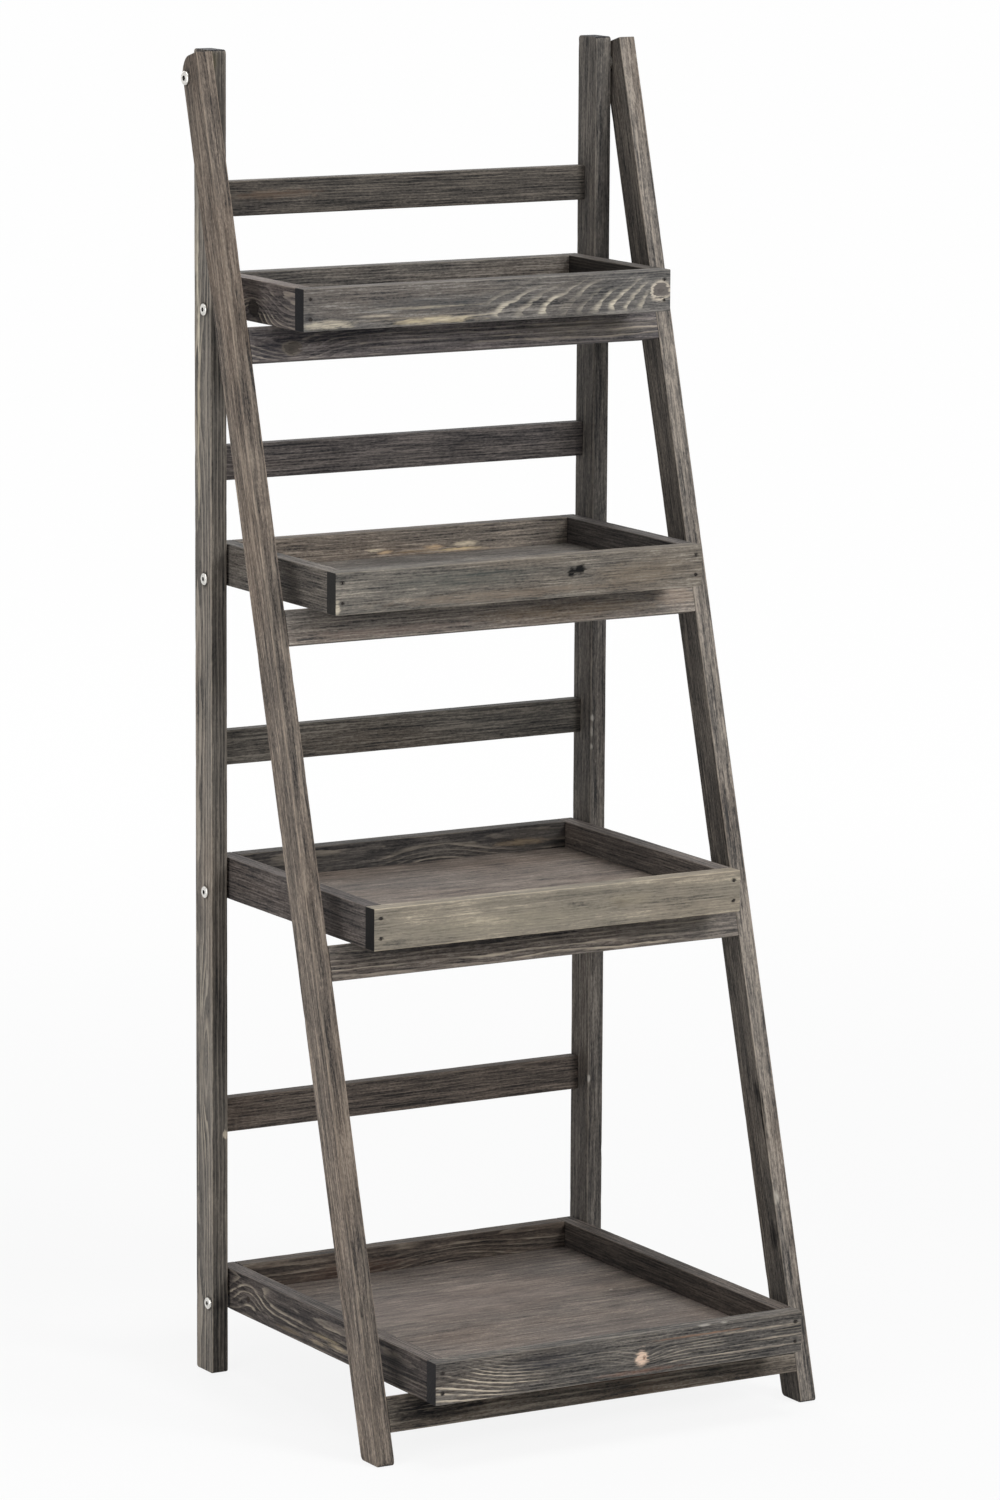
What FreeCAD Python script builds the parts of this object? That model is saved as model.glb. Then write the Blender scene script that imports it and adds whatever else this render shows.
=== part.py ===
import FreeCAD, Part
import os
import re
import Sketcher

# Folding step shelf in solid wood. Two upright rear legs with four back rails form the rear frame.
# Two sloping front legs with four front rails hang outside it on a pair of hinge bolts.
# Four open trays turn on bolts through the rear legs and lie on the front rails.
# The rails have stub tenons in the legs, and nails hold the trays' corners.
# Frame: X to the right, Y to the back, Z up, with the origin on the floor under the middle of the
# shelf's footprint. Lengths are millimetres, angles degrees. Positions from front to back are written
# from the rear legs' front faces, and place() moves every body from there to the origin.

SIZES = {
    # Frames
    "leg_thickness": 18,
    "leg_depth": 35,
    "rear_frame_width": 458,
    "rail_thickness": 15,
    "rail_height": 35,
    "arris": 0.8,
    "leg_end_round": 4,
    "foot_round": 3,
    # Main fold of the front frame
    "front_frame_angle": 15.6,
    "hinge_below_top": 27,
    "hinge_setback": 10,
    "hinge_to_front_face": 27,
    "front_leg_top_round": 18,
    "hinge_washer_thickness": 3,
    "hinge_washer_diameter": 16,
    "hinge_bolt_diameter": 6,
    "hinge_head_diameter": 14,
    "hinge_head_height": 3,
    "hinge_socket_width": 5,
    "hinge_socket_depth": 2,
    "hinge_bolt_in_leg": 13,
    # Heights, each counted from the piece below it: the lowest tray's underside from the floor, every
    # other tray's underside from the next lower one's, and the back rails from their trays' undersides
    "tray_4_rise": 64.5,
    "tray_3_rise": 422.5,
    "tray_2_rise": 316.5,
    "tray_1_rise": 268.5,
    "legs_above_tray_1": 263,
    "back_rail_1_rise": 97,
    "back_rail_2_rise": 103.5,
    "back_rail_3_rise": 133,
    "back_rail_4_rise": 179,
    # Trays, from the top down: depth, and pivot behind the rear legs' front
    "tray_1_depth": 185,
    "tray_2_depth": 250,
    "tray_3_depth": 328,
    "tray_4_depth": 446,
    "tray_1_pivot_setback": 13,
    "tray_2_pivot_setback": 13,
    "tray_3_pivot_setback": 13,
    "tray_4_pivot_setback": 8,
    "tray_side_gap": 3,
    "tray_seat_gap": 0.1,
    "board_height": 42,
    "board_thickness": 18,
    "panel_thickness": 3,
    "panel_rise": 12,
    "panel_play": 0.5,
    "groove_depth": 6,
    "groove_clearance": 0.2,
    # Tray pivots
    "pivot_rise": 7.5,
    "pivot_inset": 19,
    "pivot_bolt_diameter": 5,
    "pivot_head_diameter": 12,
    "pivot_head_height": 2.3,
    "pivot_socket_width": 4,
    "pivot_socket_depth": 1.6,
    "pivot_bolt_in_board": 13,
    "pivot_washer_diameter": 12,
    # Stub tenons on the rails
    "tenon_length": 10,
    "tenon_thickness": 7,
    "tenon_height": 23,
    # Finish nails of flat wire in the trays' corners
    "nail_width": 1.6,
    "nail_thickness": 1.4,
    "nail_head_width": 2.9,
    "nail_head_height": 0.9,
    "nail_length": 38,
    "nail_edge_distance": 7.5,
    "nail_upper_drop": 10,
    "nail_lower_drop": 30,
    # Fits, each a gap to one side
    "running_clearance": 0.08,
    "snug_clearance": 0.04,
    "head_gap": 0.1,
    "blind_end_gap": 0.5,
    "cut_overrun": 1,
}
TRAY_COUNT = 4
SHEET_NAME = "Sizes"

# The lowest tray reaches furthest forward and the rear legs' backs reach furthest back.
TO_MIDDLE = "(tray_4_depth - tray_4_pivot_setback - pivot_inset - leg_depth) / 2"

doc = FreeCAD.newDocument("step_shelf")
bodies = []

# Helpers


def fill_sheet():
    """Write every driving size to the sheet, each under its own alias."""
    sheet = doc.addObject("Spreadsheet::Sheet", SHEET_NAME)
    for row, (alias, value) in enumerate(SIZES.items(), start=1):
        sheet.set(f"A{row}", alias)
        sheet.set(f"B{row}", str(value))
        sheet.setAlias(f"B{row}", alias)
    doc.recompute()
    return sheet


def bind(formula):
    """Turn size names in a formula into references to the sheet."""

    def reference(word):
        return f"{SHEET_NAME}.{word[0]}" if word[0] in SIZES else word[0]

    return re.sub(r"[a-z]\w*", reference, formula)


def new_body(label):
    body = doc.addObject("PartDesign::Body", label)
    body.Label = label
    body.AllowCompound = True
    bodies.append(body)
    return body


def place(body, x="0", y="0", z="0"):
    """Bind the body's position to the sheet. y is measured from the rear legs' front faces."""
    for axis, formula in (("x", x), ("y", f"{y} + {TO_MIDDLE}"), ("z", z)):
        if formula != "0":
            body.setExpression(f"Placement.Base.{axis}", bind(formula))


def lean(body):
    """Turn a front frame piece about X, so that its lower end stands forward."""
    body.Placement = FreeCAD.Placement(FreeCAD.Vector(), FreeCAD.Rotation(FreeCAD.Vector(-1, 0, 0), 1))
    body.setExpression("Placement.Rotation.Angle", bind("front_frame_angle * 1 deg"))


def sketch_on(body, role, name, offset="0"):
    """Sketch on one of the body's origin planes, moved along its normal by offset."""
    sketch = body.newObject("Sketcher::SketchObject", name)
    plane = next(item for item in body.Origin.OriginFeatures if item.Role == role)
    sketch.AttachmentSupport = [(plane, "")]
    sketch.MapMode = "FlatFace"
    if offset != "0":
        sketch.setExpression("AttachmentOffset.Base.z", bind(offset))
    return sketch


def fix_point(sketch, geometry, vertex, x, y):
    """Hold one point of a sketch at two formulas, measured from the sketch's origin."""
    for kind, axis, formula in (("DistanceX", -2, x), ("DistanceY", -1, y)):
        if formula == "0":
            sketch.addConstraint(Sketcher.Constraint("PointOnObject", geometry, vertex, axis))
        else:
            index = sketch.addConstraint(Sketcher.Constraint(kind, -1, 1, geometry, vertex, 1.0))
            sketch.setExpression(f"Constraints[{index}]", bind(formula))


def outline(sketch, points):
    """Closed outline of straight lines. Each point is a pair of formulas."""
    first = sketch.GeometryCount
    count = len(points)
    turn = FreeCAD.Rotation(FreeCAD.Vector(0, 0, 1), 360 / count)
    corner = FreeCAD.Vector(1, 0, 0)
    for _ in points:
        following = turn.multVec(corner)
        sketch.addGeometry(Part.LineSegment(corner, following))
        corner = following
    for index in range(count):
        after = first + (index + 1) % count
        sketch.addConstraint(Sketcher.Constraint("Coincident", first + index, 2, after, 1))
    for index, (x, y) in enumerate(points):
        fix_point(sketch, first + index, 1, x, y)


def rectangle(sketch, left, right, low, high):
    outline(sketch, [(left, low), (right, low), (right, high), (left, high)])


def circle(sketch, x, y, diameter):
    index = sketch.addGeometry(Part.Circle(FreeCAD.Vector(1, 1, 0), FreeCAD.Vector(0, 0, 1), 1))
    fix_point(sketch, index, 3, x, y)
    size = sketch.addConstraint(Sketcher.Constraint("Diameter", index, 2.0))
    sketch.setExpression(f"Constraints[{size}]", bind(diameter))


def hexagon(sketch, x, y, width):
    """Hexagon with two flats level, given by its width across flats."""
    half_side = f"({width}) / 2 * tan(30 deg)"
    half_width = f"({width}) / 2"
    steps = [(1, 0, 0), (0, 1, 1), (0, -1, 1), (-1, 0, 0), (0, -1, -1), (0, 1, -1)]
    points = []
    for whole, side, up in steps:
        across = f"{x} + ({whole}) * 2 * {half_side} + ({side}) * {half_side}"
        points.append((across, f"{y} + ({up}) * {half_width}"))
    outline(sketch, points)


def pad(body, sketch, length):
    """Add material along the sketch's normal."""
    feature = body.newObject("PartDesign::Pad", f"{sketch.Name}_pad")
    feature.Profile = sketch
    feature.setExpression("Length", bind(length))
    sketch.Visibility = False
    doc.recompute()
    return feature


def pocket(body, sketch, length, along_normal):
    """Cut to a depth, along the sketch's normal or against it. The cut has to remove material."""
    volume = body.Shape.Volume
    feature = body.newObject("PartDesign::Pocket", f"{sketch.Name}_cut")
    feature.Profile = sketch
    feature.setExpression("Length", bind(length))
    feature.Reversed = along_normal
    sketch.Visibility = False
    doc.recompute()
    if body.Shape.Volume >= volume:
        raise RuntimeError(f"{body.Label}: {feature.Name} removes nothing")
    return feature


def revolve_about_x(body, sketch):
    """Turn a profile drawn in the XY plane about the sketch's horizontal axis."""
    feature = body.newObject("PartDesign::Revolution", f"{sketch.Name}_turned")
    feature.Profile = sketch
    feature.ReferenceAxis = (sketch, ["H_Axis"])
    feature.Angle = 360
    sketch.Visibility = False
    doc.recompute()
    return feature


def edges_of(shape, test):
    """Names of the straight or curved edges that pass a test."""
    return [f"Edge{number}" for number, edge in enumerate(shape.Edges, start=1) if test(edge)]


def runs_along(axis):
    """Test for a straight edge along one axis: 0 is X, 1 is Y and 2 is Z."""

    def test(edge):
        if edge.Curve.TypeId != "Part::GeomLine":
            return False
        return abs(abs(edge.tangentAt(edge.FirstParameter)[axis]) - 1) < 1e-6

    return test


def round_edges(body, name, edges, radius):
    base = body.Tip
    feature = body.newObject("PartDesign::Fillet", name)
    feature.Base = (base, edges)
    feature.setExpression("Radius", bind(radius))
    doc.recompute()
    return feature


def ease_edges(body, edges):
    """Take the sharp arris off these edges."""
    base = body.Tip
    feature = body.newObject("PartDesign::Chamfer", f"{body.Name}_eased")
    feature.Base = (base, edges)
    feature.setExpression("Size", bind("arris"))
    doc.recompute()
    return feature


def ease_faces(body, axis):
    """Ease the edges round the two broad faces that stand square to one axis."""
    box = body.Shape.BoundBox
    low = (box.XMin, box.YMin, box.ZMin)[axis]
    high = (box.XMax, box.YMax, box.ZMax)[axis]

    def on_broad_face(edge):
        values = [vertex.Point[axis] for vertex in edge.Vertexes] + [edge.CenterOfMass[axis]]
        at_low = all(abs(value - low) < 1e-4 for value in values)
        at_high = all(abs(value - high) < 1e-4 for value in values)
        return at_low or at_high

    ease_edges(body, edges_of(body.Shape, on_broad_face))


fill_sheet()

# Shared formulas

REAR_OUTER = "rear_frame_width / 2"
REAR_INNER = "(rear_frame_width / 2 - leg_thickness)"
FRONT_INNER = "(rear_frame_width / 2 + hinge_washer_thickness)"
FRONT_OUTER = "(rear_frame_width / 2 + hinge_washer_thickness + leg_thickness)"
TRAY_HALF = "(rear_frame_width / 2 - leg_thickness - tray_side_gap)"
TRAY_INNER_HALF = "(rear_frame_width / 2 - leg_thickness - tray_side_gap - board_thickness)"
LEAN = "front_frame_angle * 1 deg"
TENON_SIDE = "((rail_thickness - tenon_thickness) / 2)"
TENON_BOTTOM = "((rail_height - tenon_height) / 2)"


def tray_level(number):
    """Height of a tray's underside above the floor."""
    rises = [f"tray_{lower}_rise" for lower in range(number, TRAY_COUNT + 1)]
    return f"({' + '.join(rises)})"


def back_rail_level(number):
    return f"({tray_level(number)} + back_rail_{number}_rise)"


LEG_HEIGHT = f"({tray_level(1)} + legs_above_tray_1)"
HINGE_HEIGHT = f"({LEG_HEIGHT} - hinge_below_top)"


def front_rail_top(number):
    """Rail's top edge in the front frame's own frame, which starts at the hinge and leans with it.

    The upper corner of the rail's eased front edge lies one seat gap under the tray.
    """
    drop = f"{tray_level(number)} - tray_seat_gap - {HINGE_HEIGHT}"
    corner = f"(hinge_to_front_face - arris) * sin({LEAN})"
    return f"(({drop} - {corner}) / cos({LEAN}))"


def pivot_height(number):
    return f"({tray_level(number)} + pivot_rise)"


def mortises(body, name, offset, along, rail_front, rail_bottoms):
    """Pockets in a leg for the rails' tenons, cut from the leg's inner face."""
    sketch = sketch_on(body, "YZ_Plane", name, offset)
    near = f"{rail_front} + {TENON_SIDE} - snug_clearance"
    far = f"{rail_front} + {TENON_SIDE} + tenon_thickness + snug_clearance"
    for bottom in rail_bottoms:
        low = f"{bottom} + {TENON_BOTTOM} - snug_clearance"
        high = f"{bottom} + {TENON_BOTTOM} + tenon_height + snug_clearance"
        rectangle(sketch, near, far, low, high)
    pocket(body, sketch, "tenon_length + blind_end_gap", along)


# Rear frame

BACK_RAIL_FRONT = "leg_depth - rail_thickness"
BACK_RAIL_BOTTOMS = [back_rail_level(number) for number in range(1, TRAY_COUNT + 1)]


def rear_leg(side):
    """Upright leg. side is -1 for the left one and 1 for the right one."""
    label = "rear_leg_left" if side < 0 else "rear_leg_right"
    body = new_body(label)
    profile = sketch_on(body, "YZ_Plane", f"{label}_profile")
    rectangle(profile, "0", "leg_depth", "0", LEG_HEIGHT)
    pad(body, profile, "leg_thickness")
    middle = body.Shape.BoundBox.Center.z
    across = runs_along(0)
    top = edges_of(body.Shape, lambda edge: across(edge) and edge.CenterOfMass.z > middle)
    round_edges(body, f"{label}_top", top, "leg_end_round")
    foot = edges_of(body.Shape, lambda edge: across(edge) and edge.CenterOfMass.z < edge.Length)
    round_edges(body, f"{label}_foot", foot, "foot_round")
    ease_faces(body, 0)
    inner = "leg_thickness" if side < 0 else "0"
    mortises(body, f"{label}_mortises", inner, side > 0, BACK_RAIL_FRONT, BACK_RAIL_BOTTOMS)
    pivots = sketch_on(body, "YZ_Plane", f"{label}_pivot_holes")
    for number in range(1, TRAY_COUNT + 1):
        bore = "pivot_bolt_diameter + 2 * running_clearance"
        circle(pivots, f"tray_{number}_pivot_setback", pivot_height(number), bore)
    pocket(body, pivots, "leg_thickness + cut_overrun", True)
    outer = "0" if side < 0 else "leg_thickness"
    hinge = sketch_on(body, "YZ_Plane", f"{label}_hinge_hole", outer)
    circle(hinge, "hinge_setback", HINGE_HEIGHT, "hinge_bolt_diameter + 2 * snug_clearance")
    pocket(body, hinge, "hinge_bolt_in_leg + blind_end_gap", side < 0)
    place(body, x=f"-{REAR_OUTER}" if side < 0 else REAR_INNER)
    return body


def rail(label, half_length):
    """Cross rail with stub tenons. Its middle is at X = 0, its bottom at Z = 0 and its front at Y = 0.

    half_length runs to the shoulder, where the rail meets the leg.
    """
    body = new_body(label)
    profile = sketch_on(body, "YZ_Plane", f"{label}_profile", f"-{half_length}")
    rectangle(profile, "0", "rail_thickness", "0", "rail_height")
    pad(body, profile, f"2 * {half_length}")
    ease_edges(body, edges_of(body.Shape, runs_along(0)))
    tenon = sketch_on(body, "YZ_Plane", f"{label}_tenons", f"-({half_length} + tenon_length)")
    rectangle(tenon, TENON_SIDE, f"{TENON_SIDE} + tenon_thickness",
              TENON_BOTTOM, f"{TENON_BOTTOM} + tenon_height")
    pad(body, tenon, f"2 * ({half_length} + tenon_length)")
    return body


def back_rail(number):
    body = rail(f"back_rail_{number}", REAR_INNER)
    place(body, y=BACK_RAIL_FRONT, z=back_rail_level(number))
    return body


def bolt(body, name, side, start, y, z, sizes):
    """Bolt with a low head and a hexagon socket, lying along X.

    start is the distance from X = 0 to the underside of the head. side is -1 for a head on the left.
    sizes holds formulas for the head's diameter and height, the shank's diameter and length, and the
    socket's width and depth.
    """
    head, height, shank, length, socket, depth = sizes
    sign = "-" if side < 0 else ""
    profile = sketch_on(body, "XY_Plane", f"{name}_profile")
    profile.setExpression("AttachmentOffset.Base.y", bind(y))
    profile.setExpression("AttachmentOffset.Base.z", bind(z))
    outline(profile, [
        (f"{sign}({start} - ({length}))", "0"),
        (f"{sign}({start} + {height})", "0"),
        (f"{sign}({start} + {height})", f"({head}) / 2"),
        (f"{sign}({start})", f"({head}) / 2"),
        (f"{sign}({start})", f"({shank}) / 2"),
        (f"{sign}({start} - ({length}))", f"({shank}) / 2"),
    ])
    revolve_about_x(body, profile)
    face = f"{sign}({start} + {height})"
    recess = sketch_on(body, "YZ_Plane", f"{name}_socket", face)
    hexagon(recess, y, z, socket)
    pocket(body, recess, depth, side < 0)


def ring(body, name, start, length, y, z, outer, inner):
    """Washer lying along X, from start over its length."""
    section = sketch_on(body, "YZ_Plane", name, start)
    circle(section, y, z, outer)
    circle(section, y, z, inner)
    pad(body, section, length)


def hinge_hardware():
    """Bolts and washers of the main hinge, one of each on either side."""
    y = "hinge_setback"
    z = HINGE_HEIGHT
    grip = "leg_thickness + hinge_washer_thickness + head_gap"
    sizes = ("hinge_head_diameter", "hinge_head_height", "hinge_bolt_diameter",
             f"{grip} + hinge_bolt_in_leg", "hinge_socket_width", "hinge_socket_depth")
    bolts = new_body("hinge_bolts")
    for side, name in ((-1, "hinge_bolt_left"), (1, "hinge_bolt_right")):
        bolt(bolts, name, side, f"({FRONT_OUTER} + head_gap)", y, z, sizes)
    washers = new_body("hinge_washers")
    bore = "hinge_bolt_diameter + 2 * running_clearance"
    for name, start in (("left", f"-{FRONT_INNER}"), ("right", REAR_OUTER)):
        ring(washers, f"hinge_washer_{name}", start, "hinge_washer_thickness", y, z,
             "hinge_washer_diameter", bore)
    for body in (bolts, washers):
        place(body)


# Front frame, drawn upright from the hinge and then leant

FRONT_FACE = "-hinge_to_front_face"
# The eased front corner of the front legs' top is as high as the rear legs.
FRONT_CORNER_DROP = f"(arris + (hinge_to_front_face - arris) * sin({LEAN}))"
FRONT_LEG_TOP = f"((hinge_below_top - {FRONT_CORNER_DROP}) / cos({LEAN}) + arris)"
FRONT_RAIL_BOTTOMS = [f"({front_rail_top(number)} - rail_height)" for number in range(1, TRAY_COUNT + 1)]


def foot_level(y):
    """Height of the floor in the front frame's own frame, at a place across the leg."""
    return f"(({y}) * sin({LEAN}) - {HINGE_HEIGHT}) / cos({LEAN})"


def front_leg(side):
    """Sloping leg. Its foot is cut level with the floor and its top is square to the leg."""
    label = "front_leg_left" if side < 0 else "front_leg_right"
    body = new_body(label)
    back_face = "leg_depth - hinge_to_front_face"
    profile = sketch_on(body, "YZ_Plane", f"{label}_profile")
    outline(profile, [
        (FRONT_FACE, foot_level(FRONT_FACE)),
        (back_face, foot_level(back_face)),
        (back_face, FRONT_LEG_TOP),
        (FRONT_FACE, FRONT_LEG_TOP),
    ])
    pad(body, profile, "leg_thickness")
    across = runs_along(0)
    box = body.Shape.BoundBox
    middle = (box.YMin + box.YMax) / 2
    top_back = edges_of(body.Shape, lambda edge: across(edge) and edge.CenterOfMass.z > 0
                        and edge.CenterOfMass.y > middle)
    round_edges(body, f"{label}_top_back", top_back, "front_leg_top_round")
    top_front = edges_of(body.Shape, lambda edge: across(edge) and edge.CenterOfMass.z > 0
                         and edge.CenterOfMass.y < box.YMin + 1e-4)
    round_edges(body, f"{label}_top_front", top_front, "arris")
    foot = edges_of(body.Shape, lambda edge: across(edge) and edge.CenterOfMass.z < middle - box.YLength)
    round_edges(body, f"{label}_foot", foot, "foot_round")
    ease_faces(body, 0)
    inner = "leg_thickness" if side < 0 else "0"
    mortises(body, f"{label}_mortises", inner, side > 0, FRONT_FACE, FRONT_RAIL_BOTTOMS)
    hinge = sketch_on(body, "YZ_Plane", f"{label}_hinge_hole")
    circle(hinge, "0", "0", "hinge_bolt_diameter + 2 * running_clearance")
    pocket(body, hinge, "leg_thickness + cut_overrun", True)
    lean(body)
    place(body, f"-{FRONT_OUTER}" if side < 0 else FRONT_INNER, "hinge_setback", HINGE_HEIGHT)
    return body


def front_rail(number):
    """Rail flush with the legs' front faces, which leans with them."""
    body = rail(f"front_rail_{number}", FRONT_INNER)
    lean(body)
    bottom = FRONT_RAIL_BOTTOMS[number - 1]
    y = f"hinge_setback + {FRONT_FACE} * cos({LEAN}) + {bottom} * sin({LEAN})"
    z = f"{HINGE_HEIGHT} + hinge_to_front_face * sin({LEAN}) + {bottom} * cos({LEAN})"
    place(body, y=y, z=z)
    return body


# Trays


def tray_back(number):
    """Rear face of a tray, in Y."""
    return f"(tray_{number}_pivot_setback + pivot_inset)"


def tray_front(number):
    return f"({tray_back(number)} - tray_{number}_depth)"


def upright_slot(sketch, x, y, width, height):
    """Rectangle round a point."""
    rectangle(sketch, f"{x} - ({width}) / 2", f"{x} + ({width}) / 2",
              f"{y} - ({height}) / 2", f"{y} + ({height}) / 2")


def nail_bores(body, name, role, offset, along, spots):
    """Holes for nails driven right through this board, wider at the surface for their heads."""
    for part, height, depth in (
        ("shank", "nail_thickness", "board_thickness + cut_overrun"),
        ("head", "nail_head_width", "nail_head_height"),
    ):
        sketch = sketch_on(body, role, f"{name}_{part}", offset)
        for x, y in spots:
            upright_slot(sketch, x, y, "nail_width + 2 * snug_clearance", f"{height} + 2 * snug_clearance")
        pocket(body, sketch, depth, along)


def nail_tips(body, name, role, offset, along, spots):
    """Blind holes for the nails' points in the board that they hold."""
    sketch = sketch_on(body, role, name, offset)
    for x, y in spots:
        upright_slot(sketch, x, y, "nail_width + 2 * snug_clearance", "nail_thickness + 2 * snug_clearance")
    pocket(body, sketch, "nail_length - board_thickness + blind_end_gap", along)


NAIL_HEIGHTS = ["board_height - nail_upper_drop", "board_height - nail_lower_drop"]
GROOVE_TOP = "panel_rise + panel_thickness + groove_clearance"


def cross_board(label, half_length, groove_on_back):
    """Board across the tray, with its middle at X = 0, its front at Y = 0 and its bottom at Z = 0.

    The groove for the panel ends inside the board where it would show at the board's ends.
    """
    body = new_body(label)
    profile = sketch_on(body, "YZ_Plane", f"{label}_profile", f"-{half_length}")
    rectangle(profile, "0", "board_thickness", "0", "board_height")
    pad(body, profile, f"2 * {half_length}")
    ease_faces(body, 1)
    if groove_on_back:
        half_groove, face = f"({TRAY_INNER_HALF} + groove_depth)", "-board_thickness"
    else:
        half_groove, face = f"({half_length} + cut_overrun)", "0"
    groove = sketch_on(body, "XZ_Plane", f"{label}_groove", face)
    rectangle(groove, f"-{half_groove}", half_groove, "panel_rise", GROOVE_TOP)
    pocket(body, groove, "groove_depth", groove_on_back)
    return body


def front_board(number):
    """Covers the ends of both side boards, so its nails go through from the front."""
    label = f"tray_{number}_front_board"
    body = cross_board(label, TRAY_HALF, True)
    reach = f"({TRAY_HALF} - nail_edge_distance)"
    places = [(sign + reach, height) for sign in ("-", "") for height in NAIL_HEIGHTS]
    nail_bores(body, f"{label}_nails", "XZ_Plane", "0", False, places)
    place(body, y=tray_front(number), z=tray_level(number))
    return body


def rear_board(number):
    """Sits between the side boards, which are nailed to its ends."""
    label = f"tray_{number}_rear_board"
    body = cross_board(label, TRAY_INNER_HALF, False)
    places = [("board_thickness / 2", height) for height in NAIL_HEIGHTS]
    for name, offset, along in (("left", f"-{TRAY_INNER_HALF}", True), ("right", TRAY_INNER_HALF, False)):
        nail_tips(body, f"{label}_{name}", "YZ_Plane", offset, along, places)
    place(body, y=f"{tray_back(number)} - board_thickness", z=tray_level(number))
    return body


def side_board(number, side):
    """Runs from the front board to the tray's back and holds the pivot bolt's end."""
    label = f"tray_{number}_left_board" if side < 0 else f"tray_{number}_right_board"
    length = f"tray_{number}_depth - board_thickness"
    body = new_body(label)
    profile = sketch_on(body, "YZ_Plane", f"{label}_profile")
    rectangle(profile, "0", length, "0", "board_height")
    pad(body, profile, "board_thickness")
    ease_faces(body, 0)
    inner = "board_thickness" if side < 0 else "0"
    outer = "0" if side < 0 else "board_thickness"
    groove = sketch_on(body, "YZ_Plane", f"{label}_groove", inner)
    rectangle(groove, "-cut_overrun", f"{length} - board_thickness + groove_depth", "panel_rise", GROOVE_TOP)
    pocket(body, groove, "groove_depth", side > 0)
    pivot = sketch_on(body, "YZ_Plane", f"{label}_pivot_hole", outer)
    circle(pivot, f"{length} - pivot_inset", "pivot_rise", "pivot_bolt_diameter + 2 * snug_clearance")
    pocket(body, pivot, "pivot_bolt_in_board + blind_end_gap", side < 0)
    rear_places = [(f"{length} - board_thickness / 2", height) for height in NAIL_HEIGHTS]
    nail_bores(body, f"{label}_rear_nails", "YZ_Plane", outer, side < 0, rear_places)
    across = "nail_edge_distance" if side < 0 else "board_thickness - nail_edge_distance"
    front_places = [(across, height) for height in NAIL_HEIGHTS]
    nail_tips(body, f"{label}_front_nails", "XZ_Plane", "0", False, front_places)
    x = f"-{TRAY_HALF}" if side < 0 else TRAY_INNER_HALF
    place(body, x, f"{tray_front(number)} + board_thickness", tray_level(number))
    return body


def panel(number):
    """Thin bottom that lies in the grooves of all four boards."""
    label = f"tray_{number}_panel"
    body = new_body(label)
    half_width = f"({TRAY_INNER_HALF} + groove_depth - panel_play)"
    reach = "(board_thickness - groove_depth + panel_play)"
    profile = sketch_on(body, "XY_Plane", f"{label}_profile")
    rectangle(profile, f"-{half_width}", half_width, reach, f"tray_{number}_depth - {reach}")
    pad(body, profile, "panel_thickness")
    place(body, y=tray_front(number), z=f"{tray_level(number)} + panel_rise")
    return body


def nails(number):
    """Nails of one tray: two in each corner, from the front and from the sides."""
    label = f"tray_{number}_nails"
    body = new_body(label)
    along_y = [f"{sign}({TRAY_HALF} - nail_edge_distance)" for sign in ("-", "")]
    rear = f"tray_{number}_depth - board_thickness / 2"
    rows = (
        ("front", "XZ_Plane", "0", True, along_y),
        ("left", "YZ_Plane", f"-{TRAY_HALF}", False, [rear]),
        ("right", "YZ_Plane", TRAY_HALF, True, [rear]),
    )
    for name, role, offset, against_normal, columns in rows:
        spots = [(column, height) for column in columns for height in NAIL_HEIGHTS]
        for part, height, length in (
            ("shank", "nail_thickness", "nail_length"),
            ("head", "nail_head_width", "nail_head_height"),
        ):
            sketch = sketch_on(body, role, f"{label}_{name}_{part}", offset)
            for x, y in spots:
                upright_slot(sketch, x, y, "nail_width", height)
            pad(body, sketch, length).Reversed = against_normal
    doc.recompute()
    place(body, y=tray_front(number), z=tray_level(number))
    return body


def pivot_hardware(number):
    """Bolts and spacer washers on which one tray turns, one of each on either side."""
    y = f"tray_{number}_pivot_setback"
    z = pivot_height(number)
    grip = "head_gap + leg_thickness + tray_side_gap"
    sizes = ("pivot_head_diameter", "pivot_head_height", "pivot_bolt_diameter",
             f"{grip} + pivot_bolt_in_board", "pivot_socket_width", "pivot_socket_depth")
    bolts = new_body(f"tray_{number}_pivot_bolts")
    for side, name in ((-1, "left"), (1, "right")):
        bolt(bolts, f"tray_{number}_bolt_{name}", side, f"({REAR_OUTER} + head_gap)", y, z, sizes)
    washers = new_body(f"tray_{number}_pivot_washers")
    bore = "pivot_bolt_diameter + 2 * snug_clearance"
    for name, start in (("left", f"-{REAR_INNER}"), ("right", TRAY_HALF)):
        ring(washers, f"tray_{number}_washer_{name}", start, "tray_side_gap", y, z,
             "pivot_washer_diameter", bore)
    for body in (bolts, washers):
        place(body)


for side in (-1, 1):
    rear_leg(side)
    front_leg(side)
for number in range(1, TRAY_COUNT + 1):
    back_rail(number)
    front_rail(number)
hinge_hardware()
for number in range(1, TRAY_COUNT + 1):
    front_board(number)
    rear_board(number)
    side_board(number, -1)
    side_board(number, 1)
    panel(number)
    nails(number)
    pivot_hardware(number)
doc.recompute()

# Every object has to be sound before anything is written.
for item in doc.Objects:
    if "Invalid" in item.State or "Error" in item.State:
        raise RuntimeError(f"{item.Name} failed: {item.State}")
for body in bodies:
    if body.Shape.isNull() or not body.Shape.isValid():
        raise RuntimeError(f"{body.Label} has no valid shape")

os.makedirs("parts", exist_ok=True)
for body in bodies:
    body.Shape.exportStep(f"parts/{body.Label}.step")
    print(body.Label, "solids", len(body.Shape.Solids), "volume", round(body.Shape.Volume))
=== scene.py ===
"""Folding step shelf of washed, brushed pine: worn boards and metal on the frame, and a studio."""

import math

import bmesh
import bpy
from mathutils import Matrix, Vector, noise


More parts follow.
